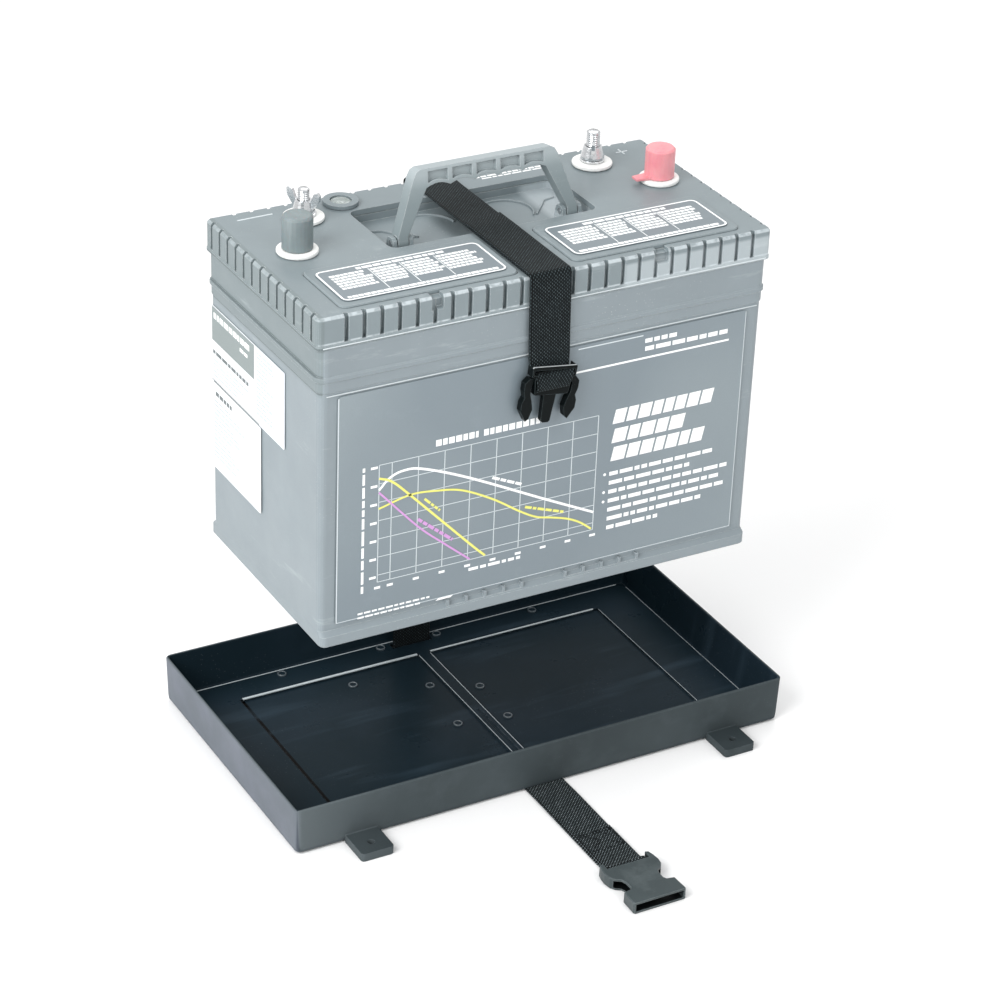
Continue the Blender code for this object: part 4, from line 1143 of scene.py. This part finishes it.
def main():
    build_camera()
    build_stage()

    pale_dust, dark_dust = rgb(214, 216, 214), rgb(120, 122, 120)
    case = moulded_look("battery case plastic", rgb(133, 143, 148), 0.42, 1500, rgb(205, 213, 215),
                        pale_dust, 0.0006, 0.06, marks=end_shade)
    lid = moulded_look("battery lid plastic", rgb(126, 137, 141), 0.4, 1900, rgb(212, 220, 221),
                       pale_dust, 0.0007, 0.07, marks=rim_shade_and_highlights)
    handle = moulded_look("handle plastic", rgb(138, 149, 152), 0.38, 1700, rgb(208, 213, 214),
                          pale_dust, 0.0007, 0.05, marks=handle_highlight_and_shade)
    buckle_dust = rgb(104, 104, 102)
    # One black buckle plastic in two tones: the plug painted darker for the shade it hangs in, the socket
    # painted paler as lit from above, and scuffed
    plug = moulded_look("buckle plastic", rgb(8, 14, 15), 0.36, 2100, rgb(96, 108, 110),
                        buckle_dust, 0.0006, 0.12, 0.09, 0.7, plug_lip_highlight)
    socket = moulded_look("lit and scuffed buckle plastic", rgb(64, 73, 75), 0.4, 2100, rgb(134, 144, 146),
                          buckle_dust, 0.0008, 0.15, 0.3, 0.9, mouth_marks)
    # Pale plastic for the beads and signs: painted highlights
    bead_highlight_plastic = moulded_look("case bead highlight plastic", rgb(205, 213, 216), 0.35, 1500,
                              rgb(236, 240, 241), pale_dust, 0.0004, 0.05)
    # Pale plastic for the tray's lips and seams: painted highlights
    lip_highlight_plastic = moulded_look("panel lip highlight plastic", rgb(178, 188, 192), 0.25, 1500, rgb(226, 230, 232),
                         dark_dust, 0.0003, 0.15, 0.6)
    # Pale plastic for the rings around the tray's bosses: painted glints
    boss_glint_plastic = moulded_look("boss ring glint plastic", rgb(70, 80, 86), 0.22, 1500,
                                rgb(170, 178, 182), dark_dust, 0.0004, 0.12, 0.6)
    steel = steel_look("bright plated steel", rgb(226, 228, 230), 0.22, (1, 1, 5))
    lead = simple_look("dull lead", rgb(150, 152, 156), 0.5,
                       ((160, 5, 0.42, 0.65, 1, rgb(104, 106, 110)),
                        (700, 3, 0.6, 0.7, 0.6, rgb(196, 198, 202))),
                       (420, 5, 0.35, 0.0003), (90, 0.3, 0.7, 0.42, 0.66), 0.0004, Metallic=1)
    lens = simple_look("clear sight lens", rgb(196, 206, 204), 0.12,
                       ((240, 3, 0.5, 0.7, 0.4, rgb(150, 170, 160)),),
                       (160, 2, 0.15, 0.0003), (120, 0.4, 0.7, 0.08, 0.25),
                       Transmission_Weight=0.55, IOR=1.49)
    paper = film_look("white label film", rgb(226, 230, 232), 0.45, 0.1, rgb(214, 220, 226))
    vent_film = film_look("vent label film", rgb(112, 123, 129), 0.36, 0.2)
    for names, look in (
            ("battery_case", case),
            ("battery_lid handle_well vent_cover_left vent_cover_right charge_eye_bezel", lid),
            ("carry_handle", handle),
            ("tray", tray_look(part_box("tray")[1].x)),
            ("buckle_socket", socket),
            ("buckle_plug buckle_prong_left buckle_prong_right", plug),
            ("wing_nut_negative wing_nut_positive", steel),
            ("handle_pin_left handle_pin_right",
             steel_look("pin steel", rgb(206, 208, 210), 0.3, (6, 1, 1))),
            ("terminal_post_negative terminal_post_positive", lead),
            (" ".join(f"cell_plates_{k}" for k in range(1, 7)), lead),
            ("post_cap_positive", cap_look("red vinyl cap", rgb(224, 150, 156), rgb(216, 120, 132))),
            ("post_cap_negative", cap_look("grey vinyl cap", rgb(120, 131, 133), rgb(104, 114, 117))),
            ("front_label",
             film_look("printed grey film", rgb(118, 130, 137), 0.34, 0.25, rgb(140, 151, 155))),
            ("vent_label_left vent_label_right", vent_film),
            ("end_label_upper end_label_lower", paper),
            ("charge_eye_lens", lens)):
        for name in names.split():
            materials = NODES[name].data.materials
            materials.clear()
            materials.append(look)

    # The second webbing has paler painted highlights on its crowns and fibres
    build_straps(webbing_look("black woven webbing", rgb(84, 97, 101), rgb(112, 125, 129)),
                 webbing_look("pale-crowned woven webbing", rgb(146, 160, 164), rgb(186, 196, 200)),
                 thread_look())
    for pole in ("negative", "positive"):
        threaded_stud(pole, steel)
    felt = simple_look("white felt", rgb(238, 239, 237), 0.95,
                       ((2200, 4, 0.5, 0.7, 0.5, rgb(205, 208, 206)),
                        (130, 3, 0.55, 0.75, 0.35, rgb(190, 190, 182))),
                       (2200, 4, 0.6, 0.0003), Sheen_Weight=0.3, Sheen_Roughness=0.6)
    for name in ("post_negative", "post_positive", "stud_negative", "stud_positive"):
        felt_washer(name, felt)
    well_ribs(lid)
    ink = {name: ink_look(f"{name} ink", rgb(*colour)) for name, colour in (
        ("white", (246, 248, 248)), ("yellow", (228, 226, 118)), ("magenta", (204, 150, 208)),
        ("grey", (126, 136, 136)), ("dark", (96, 104, 106)), ("faint", (180, 190, 193)),
        ("grid", (206, 214, 217)))}
    front_prints(ink)
    case_beads(bead_highlight_plastic)
    tray_details(lip_highlight_plastic, boss_glint_plastic)
    vent_prints("left", ink["white"])
    vent_prints("right", ink["white"])
    end_prints(ink)
    lid_prints(ink["white"])


main()
